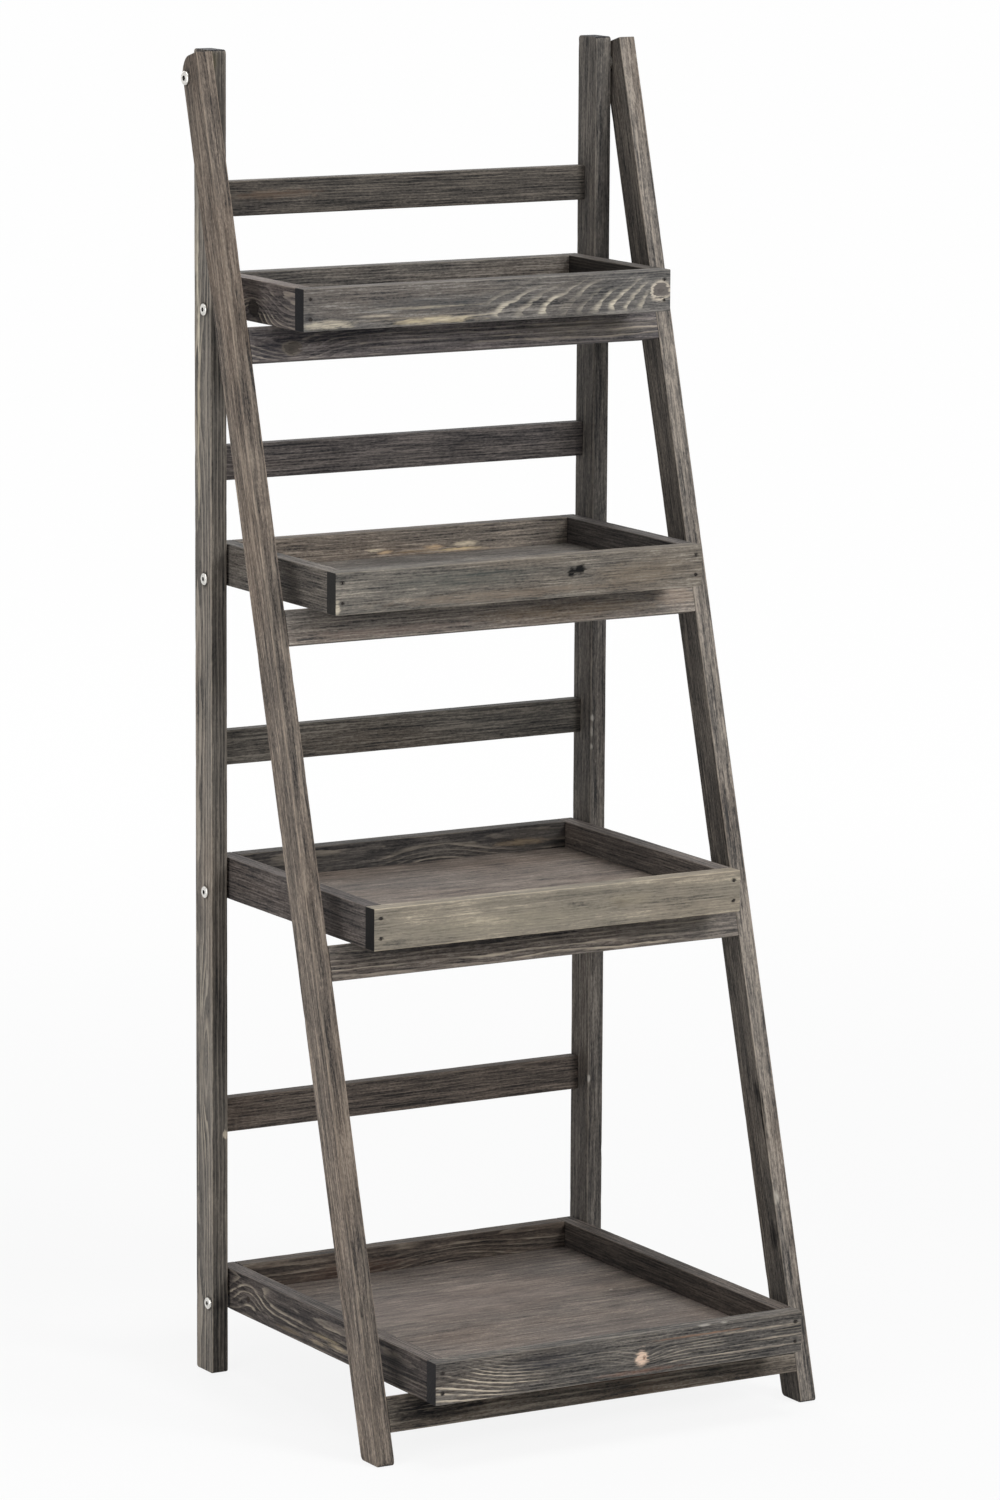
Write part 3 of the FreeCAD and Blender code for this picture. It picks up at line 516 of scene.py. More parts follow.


# Tone and figure of each board, with colours as sRGB and places and sizes in millimetres from the
# board's middle, along and across it:
# - pith is where the year rings have their middle, across and through the board, and spacing is the
#   distance from ring to ring.
# - knots: place, radii, reach of the bent rings along and across, lift, colour and rim colour. The
#   rings part round a knot by its lift, and a negative lift draws them the other way. With 0 for
#   its radii a knot only bends the rings.
# - patches: place, half length, half width, colour, strength, and for a patch on one side only also
#   its place through the board and its half depth. Some patches are painted shadow or painted
#   light, as noted at their boards.
# - rubs: place, half length, half width, strength. The finish is rubbed off the rings there.
# - sweeps: start and stop, low and high, first and last spacing, lean in rings, colour, strength.
# - faces: gain of a face, such as "-2" for the low side of the third axis, which paints shade on
#   that whole face.
# - stretch: how much closer the figure is packed along each axis.

PANEL_STRETCH = (1.3, 0.75, 1)
LOOKS = {
    "rear_leg_left": dict(
        tone="7f7972", pith=(12, -34), blotches=1.4, rings=1.0, streaks=1.0, spacing=3.2,
        # The face gains paint shade on the front face and the inner face.
        faces={"-1": 0.38, "+2": 0.42},
        knots=[(330, 4, 0, 90, 14, 6), (-345, -2, 0, 75, 9, 10)],
        rubs=[(400, 8, 170, 7, 0.9), (-340, 0, 120, 12, 1.2)],
        patches=[(655, -16, 16, 7, "8c8465", 0.6, -6, 6), (450, 11, 52, 2.4, "ddd3bf", 1.4),
                 (385, 8, 46, 2.2, "ddd3bf", 1.4), (300, 9, 60, 2.0, "cbbfa8", 1.2),
                 (235, 8, 40, 2.0, "cbbfa8", 1.1), (-421, -17, 5, 4, "fff0d8", 1.5, 6, 4)]),
    "rear_leg_right": dict(
        # The face gain paints shade on the front face.
        tone="625e5a", pith=(60, -20), blotches=1.4, faces={"-1": 0.67}, streaks=1.5,
        patches=[(-410, -17, 5, 2, "c9c4bb", 0.9, -8, 2), (-30, -17, 4, 2, "c9c4bb", 0.8, -7, 2),
                 (-44, -17, 6, 1.5, "c9c4bb", 0.9, -8, 2),
                 (-60, -17, 4, 1.5, "c9c4bb", 0.7, -8, 2)]),
    "front_leg_left": dict(
        tone="736a62", pith=(70, -25), blotches=1.5, rubbed=0.15, streaks=1.6, warmth=0.4,
        # The face gain paints shade on the front face.
        faces={"-1": 0.64},
        patches=[(-70, -2, 40, 0.9, "2c2825", 0.7), (-30, 1, 30, 0.9, "2c2825", 0.6),
                 (250, -6, 90, 4, "8c8072", 0.4)]),
    "front_leg_right": dict(
        # The face gains paint shade on the inner face and the front face.
        tone="736d67", pith=(70, 30), blotches=1.5, faces={"-2": 0.6, "-1": 0.84}, streaks=1.7,
        patches=[(660, 17, 40, 3, "a08a6c", 0.6, -8, 3), (-400, -16, 36, 3.5, "1d1b1a", 1.2, -8, 3),
                 (-380, -12, 12, 5, "1d1b1a", 1.0, -9, 3), (-487, -16, 9, 3, "bdb6aa", 0.9, -6, 4),
                 (-525, -8, 16, 8, "1b1918", 1.0, -9, 4)]),
    "back_rail_1": dict(
        tone="4a4642", pith=(50, -20), streaks=1.7, patches=[(-150, 3, 60, 5, "6d5a4b", 0.5)]),
    "back_rail_2": dict(tone="4d4948", pith=(-50, -20), streaks=1.8),
    "back_rail_3": dict(tone="4c4945", pith=(60, 10), streaks=1.7),
    "back_rail_4": dict(tone="514a45", pith=(40, -30), streaks=1.7),
    "front_rail_1": dict(
        tone="5a5656", pith=(-24, -40), rings=0.6, spacing=2.4, rubbed=0.3, streaks=1.5,
        knots=[(-187, -6, (11, 7), 44, 16, 9, "56504a", "726b62")],
        # The two dark bluish patches on the left are painted shadow under the tray, and the pale
        # one on the right is painted light.
        patches=[(-140, 9, 100, 11, "1b1d25", 0.8), (-205, -6, 20, 12, "24252d", 0.6),
                 (150, -4, 90, 12, "7d766b", 0.45)],
        rubs=[(140, -6, 110, 10, 0.4)]),
    "front_rail_2": dict(
        tone="716c67", pith=(40, -30), streaks=1.4,
        # The dark patch along the top on the left is painted shadow under the tray, and the tan one
        # at the right end is painted light.
        patches=[(-140, 9, 90, 7, "34312f", 0.6), (210, 0, 30, 12, "a59382", 0.5),
                 (90, -6, 120, 9, "85745f", 0.45), (-120, -11, 100, 5, "8b7a70", 0.5)]),
    "front_rail_3": dict(
        tone="5d5854", pith=(-30, -46), rings=0.5, rubbed=0.4, streaks=1.5,
        rubs=[(60, -12, 170, 5, 0.8)],
        # The dark patch along the top is painted shadow under the tray, and the pale one on the
        # right is painted light.
        patches=[(-90, 9, 130, 10, "1d1e22", 0.75), (150, 0, 70, 14, "7a746b", 0.4)]),
    "front_rail_4": dict(
        tone="59544e", pith=(-26, -40), rings=0.6, rubbed=0.35, warmth=0.9, streaks=1.5,
        # The near-black patch at the left end is painted shadow.
        patches=[(40, 4, 120, 6, "5f4031", 0.5), (-178, 3, 70, 16, "121113", 1.1)]),
    "tray_1_front_board": dict(
        tone="5c5a58", pith=(60, -20), rings=0.25, streaks=1.25, blotches=1.6, end="1d1d1f",
        knots=[(196, 0, (12, 10), 16, 12, 5, "6a6460", "bfb5a6"), (-150, -26, 0, 60, 14, 5)],
        sweeps=[(-16, 186, -16, 13, 34, 15, 2.0, "c9c0ae", 0.95),
                (-150, 20, -17, -9, 150, 90, 1.6, "bfb49f", 0.7)],
        patches=[(-203, -7, 6, 5, "26262a", 0.8), (-180, -15, 32, 4.5, "c4baa6", 0.8),
                 (-62, -16, 50, 4, "c2b496", 0.8), (-60, 0, 110, 9, "46494b", 0.5),
                 (-66, -3, 66, 1.3, "aaa18f", 0.6), (-128, -9, 22, 1.6, "b5ab99", 0.6),
                 (120, -15, 60, 3, "3a3a3c", 0.6)]),
    "tray_1_left_board": dict(
        tone="5f5957", pith=(10, -34), rings=0.7, rubbed=0.5,
        knots=[(2, -7, (10, 8), 40, 20, 16, "38312c", "221f1e")], rubs=[(0, 0, 60, 22, 0.8)]),
    "tray_1_rear_board": dict(tone="53504d", pith=(60, -20), streaks=1.7),
    # The face gain paints shade on the inner face.
    "tray_1_right_board": dict(tone="474340", pith=(60, -20), faces={"-2": 0.38}),
    "tray_2_front_board": dict(
        tone="67635d", pith=(80, -30), rings=0.25, streaks=1.1, blotches=2.3, end="272625",
        patches=[(-60, 6, 90, 10, "4f534f", 0.55), (-30, -13, 150, 6, "7c6e60", 0.55),
                 (140, -2, 60, 14, "7c6f5f", 0.5), (-206, -14, 3.5, 8, "c9beaa", 0.95),
                 (44, 5, 30, 6, "3c3a38", 0.6), (67, 6, 7, 5.5, "050505", 1.7),
                 (57, 3, 5.5, 4.5, "050505", 1.7), (62, 4, 9, 3, "050505", 1.4)],
        rubs=[(98, 3, 26, 7, 1.0)]),
    "tray_2_left_board": dict(tone="5c5854", pith=(-50, -20), streaks=1.6),
    "tray_2_rear_board": dict(
        tone="706962", pith=(50, -30), rings=0.45, streaks=1.5,
        patches=[(-34, 2, 12, 2, "dccdb4", 1.0), (-24, -1, 9, 2, "cdb190", 0.9),
                 (34, 1, 14, 2.5, "cdb190", 0.9), (70, 2, 18, 3, "dccdb4", 1.0),
                 (60, -3, 30, 2, "d3bd98", 0.9), (60, -7, 60, 3, "9a8468", 0.6),
                 (10, -2, 30, 2, "9a8468", 0.6)]),
    # The face gain paints shade on the inner face.
    "tray_2_right_board": dict(tone="524e4c", pith=(60, -20), faces={"-2": 0.72}),
    "tray_3_front_board": dict(
        tone="827b6f", pith=(90, -30), rings=0.2, streaks=0.65, blotches=1.8, warmth=0.3,
        end="0e0e10",
        knots=[(70, 2, 0, 26, 14, 3)],
        patches=[(-60, -5, 120, 12, "86806f", 0.4), (80, 4, 30, 8, "948b78", 0.5),
                 (-20, 14, 150, 4, "676259", 0.4), (70, 0, 9, 5, "6b6255", 0.6)]),
    "tray_3_left_board": dict(tone="524d4b", pith=(-60, -10), rings=0.3, streaks=1.6),
    "tray_3_rear_board": dict(
        tone="43403e", pith=(10, -36), rings=0.6, rubbed=0.35, streaks=1.5,
        knots=[(40, -10, 0, 60, 20, 10)],
        patches=[(136, 4, 34, 4, "94836c", 0.7), (-120, 0, 60, 14, "2c2a2a", 0.5)]),
    "tray_3_right_board": dict(tone="5c5652", pith=(60, -20), faces={"-2": 1.0}),
    "tray_4_front_board": dict(
        tone="524f4c", pith=(-60, -34), rings=0.5, rubbed=0.3, streaks=1.5, end="282728",
        knots=[(23, -3.5, 0, 26, 12, 7), (-214, 20, 0, 70, 34, -20)],
        rubs=[(-152, -6, 70, 20, 1.7), (130, -4, 110, 14, 0.9)],
        patches=[(-90, 6, 60, 10, "323338", 0.6), (-100, 12, 50, 3, "1b1b1d", 0.6),
                 (23, -3, 8, 9.5, "d9bfaa", 1.7), (26, -3, 2.2, 3, "6d4f3e", 0.9),
                 (165, 9, 60, 1.2, "a79c8d", 0.9), (180, -2, 40, 1.0, "a79c8d", 0.8),
                 (90, 12, 60, 1.2, "8f6f5a", 0.8), (150, -11, 70, 1.2, "9c9184", 0.8),
                 (20, -16, 60, 2.5, "7b4b33", 0.35), (96, 20.5, 9, 1.2, "c0bbb2", 0.6, -8, 4),
                 (118, 20.5, 5, 1, "c0bbb2", 0.5, -8, 4)]),
    "tray_4_left_board": dict(
        tone="4a4543", pith=(10, -34), rings=0.55, rubbed=0.35, streaks=1.6,
        knots=[(150, -2, (3.5, 3), 34, 17, 9, "3b332d", "2a2624")],
        rubs=[(120, 0, 90, 20, 0.8), (-20, -4, 70, 12, 0.9)],
        patches=[(-40, -9, 26, 2.5, "b5a68e", 0.9), (6, -13, 22, 2, "b5a68e", 0.9),
                 (-12, -5, 36, 2, "a8997f", 0.8), (60, -14, 30, 2, "8f806a", 0.6),
                 (-150, 0, 60, 14, "2c2a2a", 0.5)]),
    "tray_4_rear_board": dict(
        tone="443d38", pith=(20, -36), rings=0.6, rubbed=0.4, warmth=0.9, streaks=1.5,
        knots=[(60, -6, 0, 60, 18, 8)], patches=[(-60, 0, 80, 10, "4f3b31", 0.5)]),
    # The face gain paints shade on the inner face.
    "tray_4_right_board": dict(tone="4c4642", pith=(60, -20), faces={"-2": 0.73}, streaks=1.5),
    "tray_1_panel": dict(
        tone="857d76", pith=(20, -400), rings=0.2, blotches=1.1, warmth=0.4, streaks=1.1,
        stretch=PANEL_STRETCH),
    "tray_2_panel": dict(
        tone="938e89", pith=(60, -400), rings=0.2, blotches=1.1, warmth=0.4, streaks=1.1,
        stretch=PANEL_STRETCH),
    "tray_3_panel": dict(
        tone="837a73", pith=(-40, -300), rings=0.2, blotches=1.1, warmth=0.4, streaks=1.0,
        stretch=PANEL_STRETCH),
    "tray_4_panel": dict(
        tone="706862", pith=(30, -300), rings=0.2, blotches=1.3, warmth=0.5, streaks=1.1,
        stretch=PANEL_STRETCH,
        # The pale patch over the middle is painted light, and the dark one at the front right is
        # painted shade by the boards.
        patches=[(-20, 60, 170, 70, "998980", 0.4), (141, 30, 3, 1.5, "cfc8bd", 0.9),
                 (110, -110, 120, 50, "5a524d", 0.5)]),
}


# Worn boards, swept along the grain

SECTION_STEP = 1.8 * MM
STATION_STEP = 9 * MM
END_STATIONS = [distance * MM for distance in (1.5, 2.5, 4, 6, 9, 13, 18)]
ARC_STEPS = 3
END_ROUND = 0.7 * MM
TENON_LENGTH = 10 * MM
TENON_HALF = (11.5 * MM, 3.5 * MM)
TENON_ARRIS = 0.3 * MM
FIT = 0.04 * MM
REAR_LEG_ENDS = (3 * MM, 4 * MM)
FRONT_LEG_ENDS = (4.5 * MM, 18 * MM)
MERGE_DISTANCE = 0.001 * MM
SHARP_ANGLE = math.radians(38)


def mesh_object(name, bm):
    """Object in the scene with the mesh that was built in bm, which is freed."""
    bmesh.ops.recalc_face_normals(bm, faces=bm.faces)
    data = bpy.data.meshes.new(name)
    bm.to_mesh(data)
    bm.free()
    piece = bpy.data.objects.new(name, data)
    bpy.context.scene.collection.objects.link(piece)
    return piece


def skin(bm, rings):
    """Faces from ring to ring of vertices, and one over each end."""
    for first, second in zip(rings, rings[1:]):
        for k in range(len(first)):
            after = (k + 1) % len(first)
            bm.faces.new((first[k], first[after], second[after], second[k]))
    bm.faces.new(rings[0][::-1])
    bm.faces.new(rings[-1])


def paint(data, material):
    """Give a mesh one material."""
    data.materials.clear()
    data.materials.append(material)


def fit_in(piece, node, material):
    """Finish a piece and put it in the place of its CAD node."""
    piece.data.shade_smooth()
    piece.data.set_sharp_from_angle(angle=SHARP_ANGLE)
    paint(piece.data, material)
    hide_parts(node)
    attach(piece, body_of(node))


def waver(*place):
    """Noise from about -1 to 1."""
    return noise.noise(Vector(place))


def corner_inset(distance, radius):
    """How far a rounded corner of an end stands back from the side, at a distance from the end."""
    if distance >= radius:
        return 0.0
    return radius - math.sqrt(radius ** 2 - (radius - distance) ** 2)


def section(low, high, half_depth, radii):
    """Arcs of (across, through, normal across, normal through) round a section's four corners.

    radii belong to the corners high-high, high-low, low-low and low-high, in the ring's order.
    """
    centres = ((high, half_depth), (high, -half_depth), (low, -half_depth), (low, half_depth))
    inward = ((-1, -1), (-1, 1), (1, 1), (1, -1))
    corners = []
    for index, ((v, w), (iv, iw), radius) in enumerate(zip(centres, inward, radii)):
        arc = []
        for step in range(ARC_STEPS + 1):
            angle = math.pi / 2 * (1 - index - step / ARC_STEPS)
            nv, nw = math.cos(angle), math.sin(angle)
            arc.append((v + radius * (iv + nv), w + radius * (iw + nw), nv, nw))
        corners.append(arc)
    return corners


def ring_points(low, high, half_depth, radii, counts):
    """Points round a section, with the flats between its corners divided into the given counts."""
    corners = section(low, high, half_depth, radii)
    points = []
    for index, arc in enumerate(corners):
        points.extend(arc)
        start, end = arc[-1], corners[(index + 1) % 4][0]
        count = counts[index % 2]
        for step in range(1, count):
            share = step / count
            points.append(tuple(a + (b - a) * share for a, b in zip(start, end)))
    return points


def relief(seed, u, v, w):
    """Depth of the brushed surface under the flat one: bowed, and hollowed between the fibres."""
    bow = waver(u * 6 + seed, v * 14, w * 14 + seed)
    fibre = waver(u * 14 + seed, v * 330, w * 330)
    return (0.13 + 0.07 * bow + 0.07 * fibre) * MM


def arris_radius(seed, u, corner):
    """Rounding of a worn arris, with a deeper dent here and there."""
    worn = 0.5 + 0.5 * waver(u * 22, corner * 3.1, seed)
    dent = max(0.0, waver(u * 75, corner * 5.3, seed + 4) - 0.33)
    return (0.75 + 0.6 * worn + 2.4 * dent) * MM


def stations(length, tenons):
    """Distances from a board's low end where its section is drawn."""
    body = length - 2 * TENON_LENGTH if tenons else length
    turns = [math.pi / 2 * step / ARC_STEPS for step in range(ARC_STEPS + 1)]
    ends = [END_ROUND * (1 - math.cos(turn)) for turn in turns] + END_STATIONS
    evenly = body - 2 * ends[-1]
    count = round(evenly / STATION_STEP)
    middle = [ends[-1] + evenly * step / count for step in range(1, count)]
    places = ends + middle + [body - place for place in reversed(ends)]
    if tenons:
        places = [TENON_LENGTH + place for place in places]
        places = [0, TENON_LENGTH, *places, length - TENON_LENGTH, length]
    return places


def plank(board, seed, end_rounds=(0, 0), foot_cut=False, tenons=False):
    """Worn board in place of a CAD one. Its surface only ever lies inside the CAD one's.

    end_rounds are radii of the two ends' corners, as seen through the board. With foot_cut the
    low end is cut level with the floor. Tenons have a smaller section, from a square shoulder on.
    """
    low_end, high_end = board.reach[0]
    length = high_end - low_end
    half_width, half_depth = board.half[1:]
    counts = [max(4, round(2 * half / SECTION_STEP)) for half in (half_depth, half_width)]
    places = stations(length, tenons)
    bm = bmesh.new()
    rings = []
    for index, place in enumerate(places):
        u = place - length / 2
        in_tenon = tenons and (index < 2 or index > len(places) - 3)
        if in_tenon:
            low, high, depth, radii = -TENON_HALF[0], *TENON_HALF, [TENON_ARRIS] * 4
        else:
            from_end = min(place, length - place)
            reach = from_end - TENON_LENGTH if tenons else from_end
            inset = corner_inset(max(reach, 0.0), END_ROUND)
            radius = end_rounds[0] if place < length / 2 else end_rounds[1]
            cut = max(inset, corner_inset(from_end, radius)) if radius else inset
            low = -half_width + (inset if foot_cut and place > length / 2 else cut)
            high = half_width - cut
            depth = half_depth - inset
            radii = [arris_radius(seed, u, corner) for corner in range(4)]
        ring = []
        for v, w, nv, nw in ring_points(low, high, depth, radii, counts):
            hollow = FIT if in_tenon else relief(seed, u, v, w)
            across, through = v - nv * hollow, w - nw * hollow
            lengthwise = u
            if foot_cut:
                # The cut leans across the leg, and its lean fades out towards the top.
                level = (across * math.sin(LEAN) - board.middle.z) / math.cos(LEAN)
                lengthwise = level + (length / 2 - level) * place / length
            ring.append(bm.verts.new(board.point(lengthwise, across, through)))
        rings.append(ring)
    skin(bm, rings)
    bmesh.ops.remove_doubles(bm, verts=bm.verts, dist=MERGE_DISTANCE)
    return mesh_object(f"{board.node}_worn", bm)


# Joinery, as the CAD boards have it: bores of the hinge and pivot bolts, and room in sockets

HINGE_BORE = 6.16 * MM
HINGE_DEPTH_REAR = 13.5 * MM
HINGE_DEPTH_FRONT = 20 * MM  # right through the leg
PIVOT_BORE_LEG = 5.16 * MM
PIVOT_BORE_TRAY = 5.12 * MM
PIVOT_DEPTH_TRAY = 13.5 * MM
BORE_SEGMENTS = 48
SOCKET_ROOM = 0.5 * MM  # past the end of a tenon and the edge of a panel
GROOVE_ROOM = 0.1 * MM  # half of the gap over a panel, which lies on the bottom of its groove
OVERRUN = 1 * MM


def box_cutter(bm, centre, axes, half):
    """Add a box to the cutters, from its middle, its axes and its half sizes."""
    for corner in bmesh.ops.create_cube(bm, size=2)["verts"]:
        signs = corner.co.copy()
        corner.co = centre + sum((a * h * s for a, h, s in zip(axes, half, signs)), Vector())


def bore_cutter(bm, start, end, bolts, diameter):
    """Add a round bore along X to the cutters, in line with a pair of bolts."""
    middle = Vector(((start + end) / 2, *bolt_axis(bolts)))
    matrix = Matrix.Translation(middle) @ Matrix.Rotation(math.pi / 2, 4, "Y")
    bmesh.ops.create_cone(bm, cap_ends=True, segments=BORE_SEGMENTS, radius1=diameter / 2,
                          radius2=diameter / 2, depth=abs(end - start), matrix=matrix)


def cut_out(piece, bm):
    """Take the cutters out of a piece, and free them."""
    cutter = mesh_object("cutter", bm)
    modifier = piece.modifiers.new("joinery", "BOOLEAN")
    modifier.object = cutter
    modifier.operation = "DIFFERENCE"
    modifier.solver = "EXACT"
    bpy.context.view_layer.update()
    evaluated = piece.evaluated_get(bpy.context.evaluated_depsgraph_get())
    result = bpy.data.meshes.new_from_object(evaluated)
    piece.modifiers.clear()
    result.name = piece.data.name
    uncut, piece.data = piece.data, result
    bpy.data.meshes.remove(uncut)
    leftover = cutter.data
    bpy.data.objects.remove(cutter)
    bpy.data.meshes.remove(leftover)


def joinery(board):
    """Cutters for the mortises, grooves and bores that the CAD board has."""
    bm = bmesh.new()
    name = board.node
    side = -1 if "left" in name else 1
    inner, outer = sorted(board.reach[2], key=abs)
    start = outer + side * OVERRUN
    if "leg" in name:
        rear = name.startswith("rear")
        for number in TRAYS:
            rail = boards[f"back_rail_{number}" if rear else f"front_rail_{number}"]
            half = (rail.half[0] + SOCKET_ROOM, *(size + FIT for size in TENON_HALF))
            box_cutter(bm, rail.middle, rail.axes, half)
        depth = HINGE_DEPTH_REAR if rear else HINGE_DEPTH_FRONT
        bore_cutter(bm, start, outer - side * depth, "hinge_bolts", HINGE_BORE)
        if rear:
            for number in TRAYS:
                bolts = f"tray_{number}_pivot_bolts"
                bore_cutter(bm, start, inner - side * OVERRUN, bolts, PIVOT_BORE_LEG)
    elif name.startswith("tray"):
        tray = body_of(name)
        panel = boards[f"{tray}_panel"]
        half = (panel.half[0] + SOCKET_ROOM, panel.half[1] + SOCKET_ROOM,
                panel.half[2] + GROOVE_ROOM)
        box_cutter(bm, panel.middle + Z * GROOVE_ROOM, panel.axes, half)
        if "left" in name or "right" in name:
            end = outer - side * PIVOT_DEPTH_TRAY
            bore_cutter(bm, start, end, f"{tray}_pivot_bolts", PIVOT_BORE_TRAY)
    return bm


# A board's figure and wear come from seeds of its own: its number times these.
FIGURE_SEED = 1.37
WEAR_SEED = 2.71

for count, board in enumerate(boards.values(), start=1):
    material = wood_material(board, count * FIGURE_SEED, **LOOKS[board.node])
    if "panel" in board.node:
        paint(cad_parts[board.node].data, material)
        continue
    front_leg = board.node.startswith("front_leg")
    rail = "rail" in board.node
    rounds = (0, 0)
    if board.node.startswith("rear_leg"):
        rounds = REAR_LEG_ENDS
    elif front_leg:
        rounds = FRONT_LEG_ENDS
    piece = plank(board, count * WEAR_SEED, rounds, front_leg, rail)
    if not rail:
        cut_out(piece, joinery(board))
    fit_in(piece, board.node, material)


# Metal and plastic

BOLT_SEGMENTS = 48
SHANK_BEVEL = 0.5 * MM
HEAD_BEVEL = 0.2 * MM
HEAD_EDGE = 0.45  # share of the head's height below the dome
DOME_WIDTH = 0.28  # share of the head's radius that the dome rounds off
DOME_STEPS = 8
SOCKET_FLARE = 1.12
SOCKET_CHAMFER = 0.15 * MM
SPOTS_PER_METRE = 900


def spotted(name, tone, spot_tone, roughness, metallic=1.0, socket=None):
    """Spotted metal or plastic. socket holds the depth and the height of a bolt's axis and the
    radius of the painted shade inside the head's socket.
    """
    material = bpy.data.materials.new(name)
    material.use_nodes = True
    n = Nodes(material.node_tree)
    shader = material.node_tree.nodes["Principled BSDF"]
    place = n.add("ShaderNodeTexCoord").outputs["Object"]
    spots = n.noise(n.scaled(place, (SPOTS_PER_METRE,) * 3), 3.0)
    colour = n.mix(n.smooth(spots, 0.4, 0.7), srgb(tone), srgb(spot_tone))
    polish = n.fused(spots, 0.25, roughness)
    if socket:
        y, z, radius = socket
        _, across, up = n.add("ShaderNodeSeparateXYZ", {0: place}).outputs
        # Painted shade inside the head's socket: darker there, and rougher.
        socket_shade = n.smooth(n.length(n.minus(across, y), n.minus(up, z)), radius, radius * 0.9)
        colour = n.mix(socket_shade, colour, srgb("0c0c0d"))
        polish = n.fused(socket_shade, 0.4, polish)
    n.set(shader.inputs["Base Color"], colour)
    n.set(shader.inputs["Roughness"], polish)
    shader.inputs["Metallic"].default_value = metallic
    return material


def hexagon(half_width, angle):
    """Distance of a hexagon's outline from its middle."""
    return half_width / math.cos(angle % (math.pi / 3) - math.pi / 6)


def bolt_profile(head, height, shank, length, socket, depth):
    """Rings of a bolt from its tip to the bottom of its socket: distance from the head's underside,
    and a function of the angle that gives the radius.
    """
    rings = [(-length, shank - SHANK_BEVEL), (-length + SHANK_BEVEL, shank), (0, shank),
             (0, head - HEAD_BEVEL), (HEAD_BEVEL, head)]
    edge = HEAD_EDGE * height
    dome = head * DOME_WIDTH
    for step in range(DOME_STEPS + 1):
        turn = math.pi / 2 * step / DOME_STEPS
        place = edge + (height - edge) * math.sin(turn)
        rings.append((place, head - dome * (1 - math.cos(turn))))
    rings = [(place, lambda angle, radius=radius: radius) for place, radius in rings]
    mouth = ((height, SOCKET_FLARE), (height - SOCKET_CHAMFER, 1.0), (height - depth, 1.0))
    for place, grow in mouth:
        rings.append((place, lambda angle, grow=grow: hexagon(socket * grow, angle)))
    return rings


def make_bolts(node, head, height, shank, socket, depth):
    """Pair of bolts along X in place of the CAD ones, with domed heads.

    head, shank and socket are radii. height is the head's and depth the socket's.
    """
    y, z = bolt_axis(node)
    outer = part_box(node)[1][0]
    tip = min(abs(corner.co.x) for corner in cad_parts[node].data.vertices)
    under = outer - height
    bm = bmesh.new()
    for side in (-1, 1):
        rings = []
        for place, radius in bolt_profile(head, height, shank, under - tip, socket, depth):
            ring = []
            for step in range(BOLT_SEGMENTS):
                angle = math.tau * step / BOLT_SEGMENTS
                away = radius(angle)
                spot = (side * (under + place), y + away * math.cos(angle),
                        z + away * math.sin(angle))
                ring.append(bm.verts.new(spot))
            rings.append(ring)
        skin(bm, rings)
    socket_shade = (y, z, socket * SOCKET_FLARE)
    material = spotted(f"{node} zinc", "e4e2dd", "b4b1ab", 0.22, socket=socket_shade)
    fit_in(mesh_object(f"{node}_domed", bm), node, material)


SMALL_PIECES = {
    "nails": spotted("dark steel", "3a3634", "211f1e", 0.5),
    "hinge_washers": spotted("zinc", "dcdad5", "a5a29c", 0.2),
    "pivot_washers": spotted("black plastic", "222223", "2e2e2f", 0.5, metallic=0.0),
}
for name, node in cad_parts.items():
    for ending, material in SMALL_PIECES.items():
        if name.endswith(ending):
            paint(node.data, material)

make_bolts("hinge_bolts", head=7 * MM, height=3 * MM, shank=3 * MM, socket=2.5 * MM,
           depth=2 * MM)
for number in TRAYS:
    make_bolts(f"tray_{number}_pivot_bolts", head=6 * MM, height=2.3 * MM, shank=2.5 * MM,
               socket=2 * MM, depth=1.6 * MM)


# Floor, light and surroundings

FLOOR_HALF_SIZE = 30
FLOOR_DROP = 0.5 * MM
FLOOR_WHITE_NEAR = 0.88
FLOOR_WHITE_FAR = 0.99
FLOOR_FADE = (0.5, 3.5)
LIGHTS_TARGET = Vector((0, 0, 0.65))
# Name, place and size in metres, and power in watts
LIGHTS = (
    ("key", (1.6, -3.7, 2.7), (1.5, 1.5), 125),
    ("top", (0.0, -0.5, 5.0), (2.0, 2.0), 100),
    ("left", (-1.25, -0.45, 0.85), (0.7, 1.5), 8),
    ("back", (1.2, 4.2, 2.4), (2.0, 2.0), 60),
)


def seen_directly(n):
    """1 for rays that show a surface or the background to the camera, also in metal."""
    path = n.add("ShaderNodeLightPath").outputs
    return n.maths("MAXIMUM", path["Is Camera Ray"], path["Is Glossy Ray"])


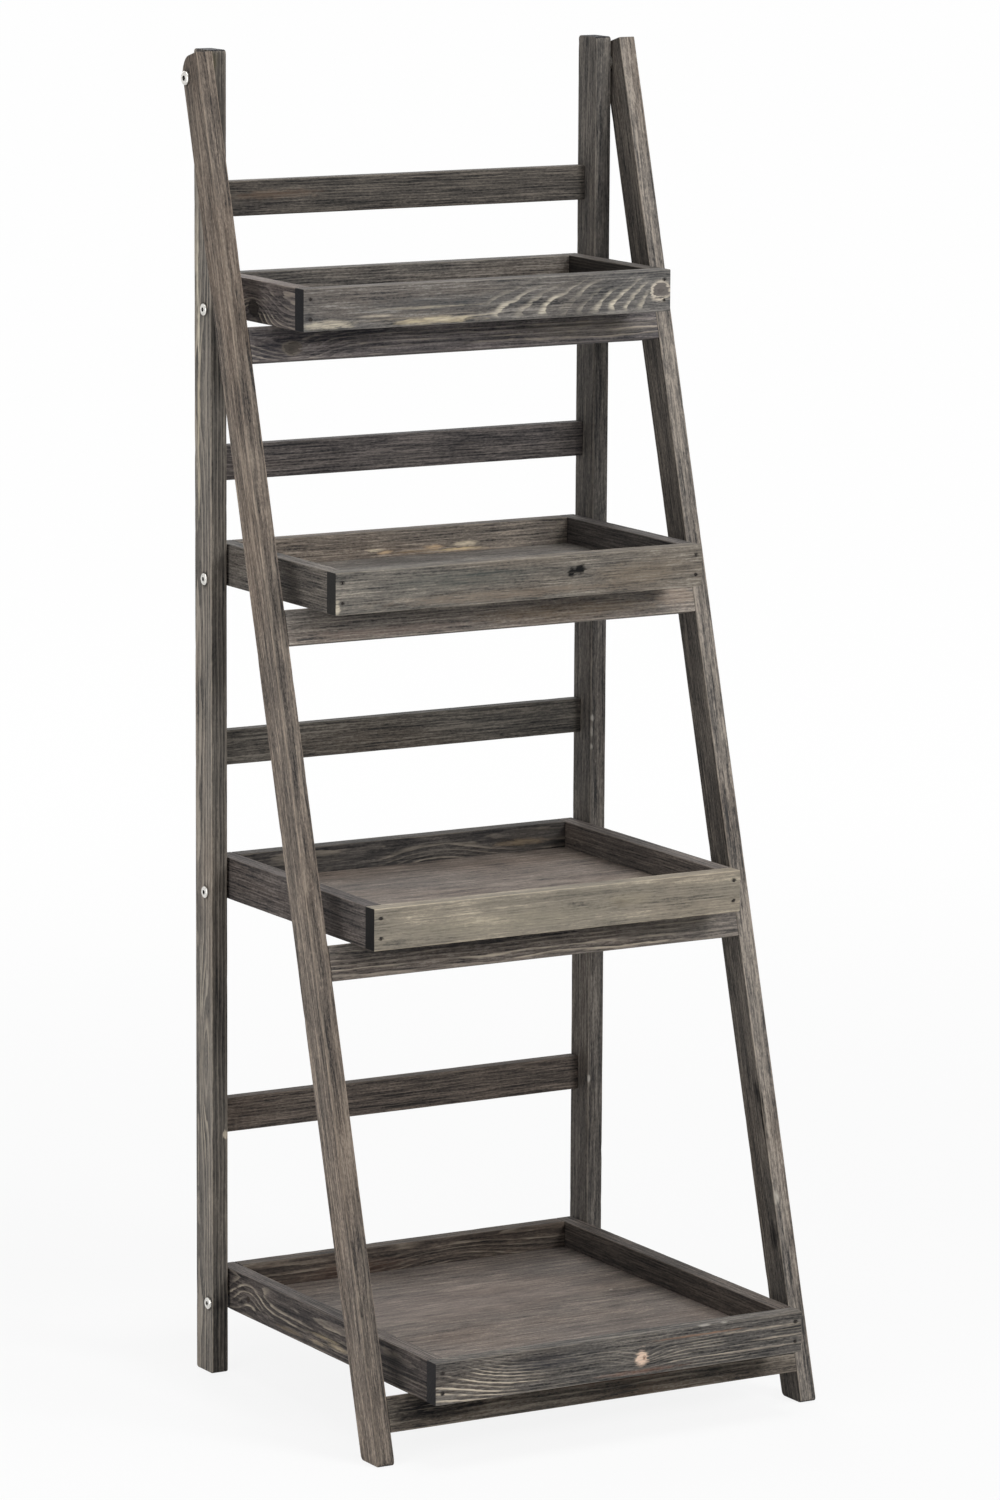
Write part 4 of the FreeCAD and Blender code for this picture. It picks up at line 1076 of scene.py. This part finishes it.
def floor_material():
    """Grey for the light that falls on the shelf, and nearly white for the camera."""
    material = bpy.data.materials.new("floor")
    material.use_nodes = True
    n = Nodes(material.node_tree)
    shader = material.node_tree.nodes["Principled BSDF"]
    shader.inputs["Base Color"].default_value = (0.7, 0.7, 0.7, 1)
    shader.inputs["Roughness"].default_value = 1.0
    shader.inputs["Specular IOR Level"].default_value = 0.0
    white = n.add("ShaderNodeEmission", {"Color": (1, 1, 1), "Strength": 1.0})
    place = n.add("ShaderNodeTexCoord").outputs["Object"]
    far = n.smooth(n.vector("LENGTH", place, (0, 0, 0))["Value"], *FLOOR_FADE)
    white_share = n.fused(far, FLOOR_WHITE_FAR - FLOOR_WHITE_NEAR, FLOOR_WHITE_NEAR)
    inputs = {0: n.times(seen_directly(n), white_share), 1: shader.outputs[0],
              2: white.outputs[0]}
    mixed = n.add("ShaderNodeMixShader", inputs)
    n.set(material.node_tree.nodes["Material Output"].inputs[0], mixed.outputs[0])
    return material


def make_floor():
    """Floor as part of the stage, just under the feet."""
    data = bpy.data.meshes.new("floor")
    corners = [(x * FLOOR_HALF_SIZE, y * FLOOR_HALF_SIZE, 0)
               for x, y in ((-1, -1), (1, -1), (1, 1), (-1, 1))]
    data.from_pydata(corners, [], [(0, 1, 2, 3)])
    data.materials.append(floor_material())
    floor = bpy.data.objects.new("floor", data)
    floor.location.z = -FLOOR_DROP
    bpy.context.scene.collection.objects.link(floor)


def make_light(name, place, size, power):
    """Rectangular light at a place, turned to the middle of the shelf."""
    data = bpy.data.lights.new(name, "AREA")
    data.shape = "RECTANGLE"
    data.size, data.size_y = size
    data.energy = power
    light = bpy.data.objects.new(name, data)
    light.location = place
    light.rotation_euler = (LIGHTS_TARGET - Vector(place)).to_track_quat("-Z", "Y").to_euler()
    bpy.context.scene.collection.objects.link(light)


def make_world():
    """Faint cool light from all round, with white for the camera."""
    world = bpy.data.worlds.new("studio")
    bpy.context.scene.world = world
    world.use_nodes = True
    world.node_tree.nodes.clear()
    n = Nodes(world.node_tree)
    lit = n.add("ShaderNodeBackground", {"Color": (0.95, 0.97, 1.0), "Strength": 0.2})
    white = n.add("ShaderNodeBackground", {"Color": (1, 1, 1), "Strength": 1.0})
    inputs = {0: seen_directly(n), 1: lit.outputs[0], 2: white.outputs[0]}
    mixed = n.add("ShaderNodeMixShader", inputs)
    n.set(n.add("ShaderNodeOutputWorld").inputs[0], mixed.outputs[0])


make_camera()
make_floor()
for light in LIGHTS:
    make_light(*light)
make_world()
bpy.context.scene.view_settings.view_transform = "Standard"

bpy.context.view_layer.update()
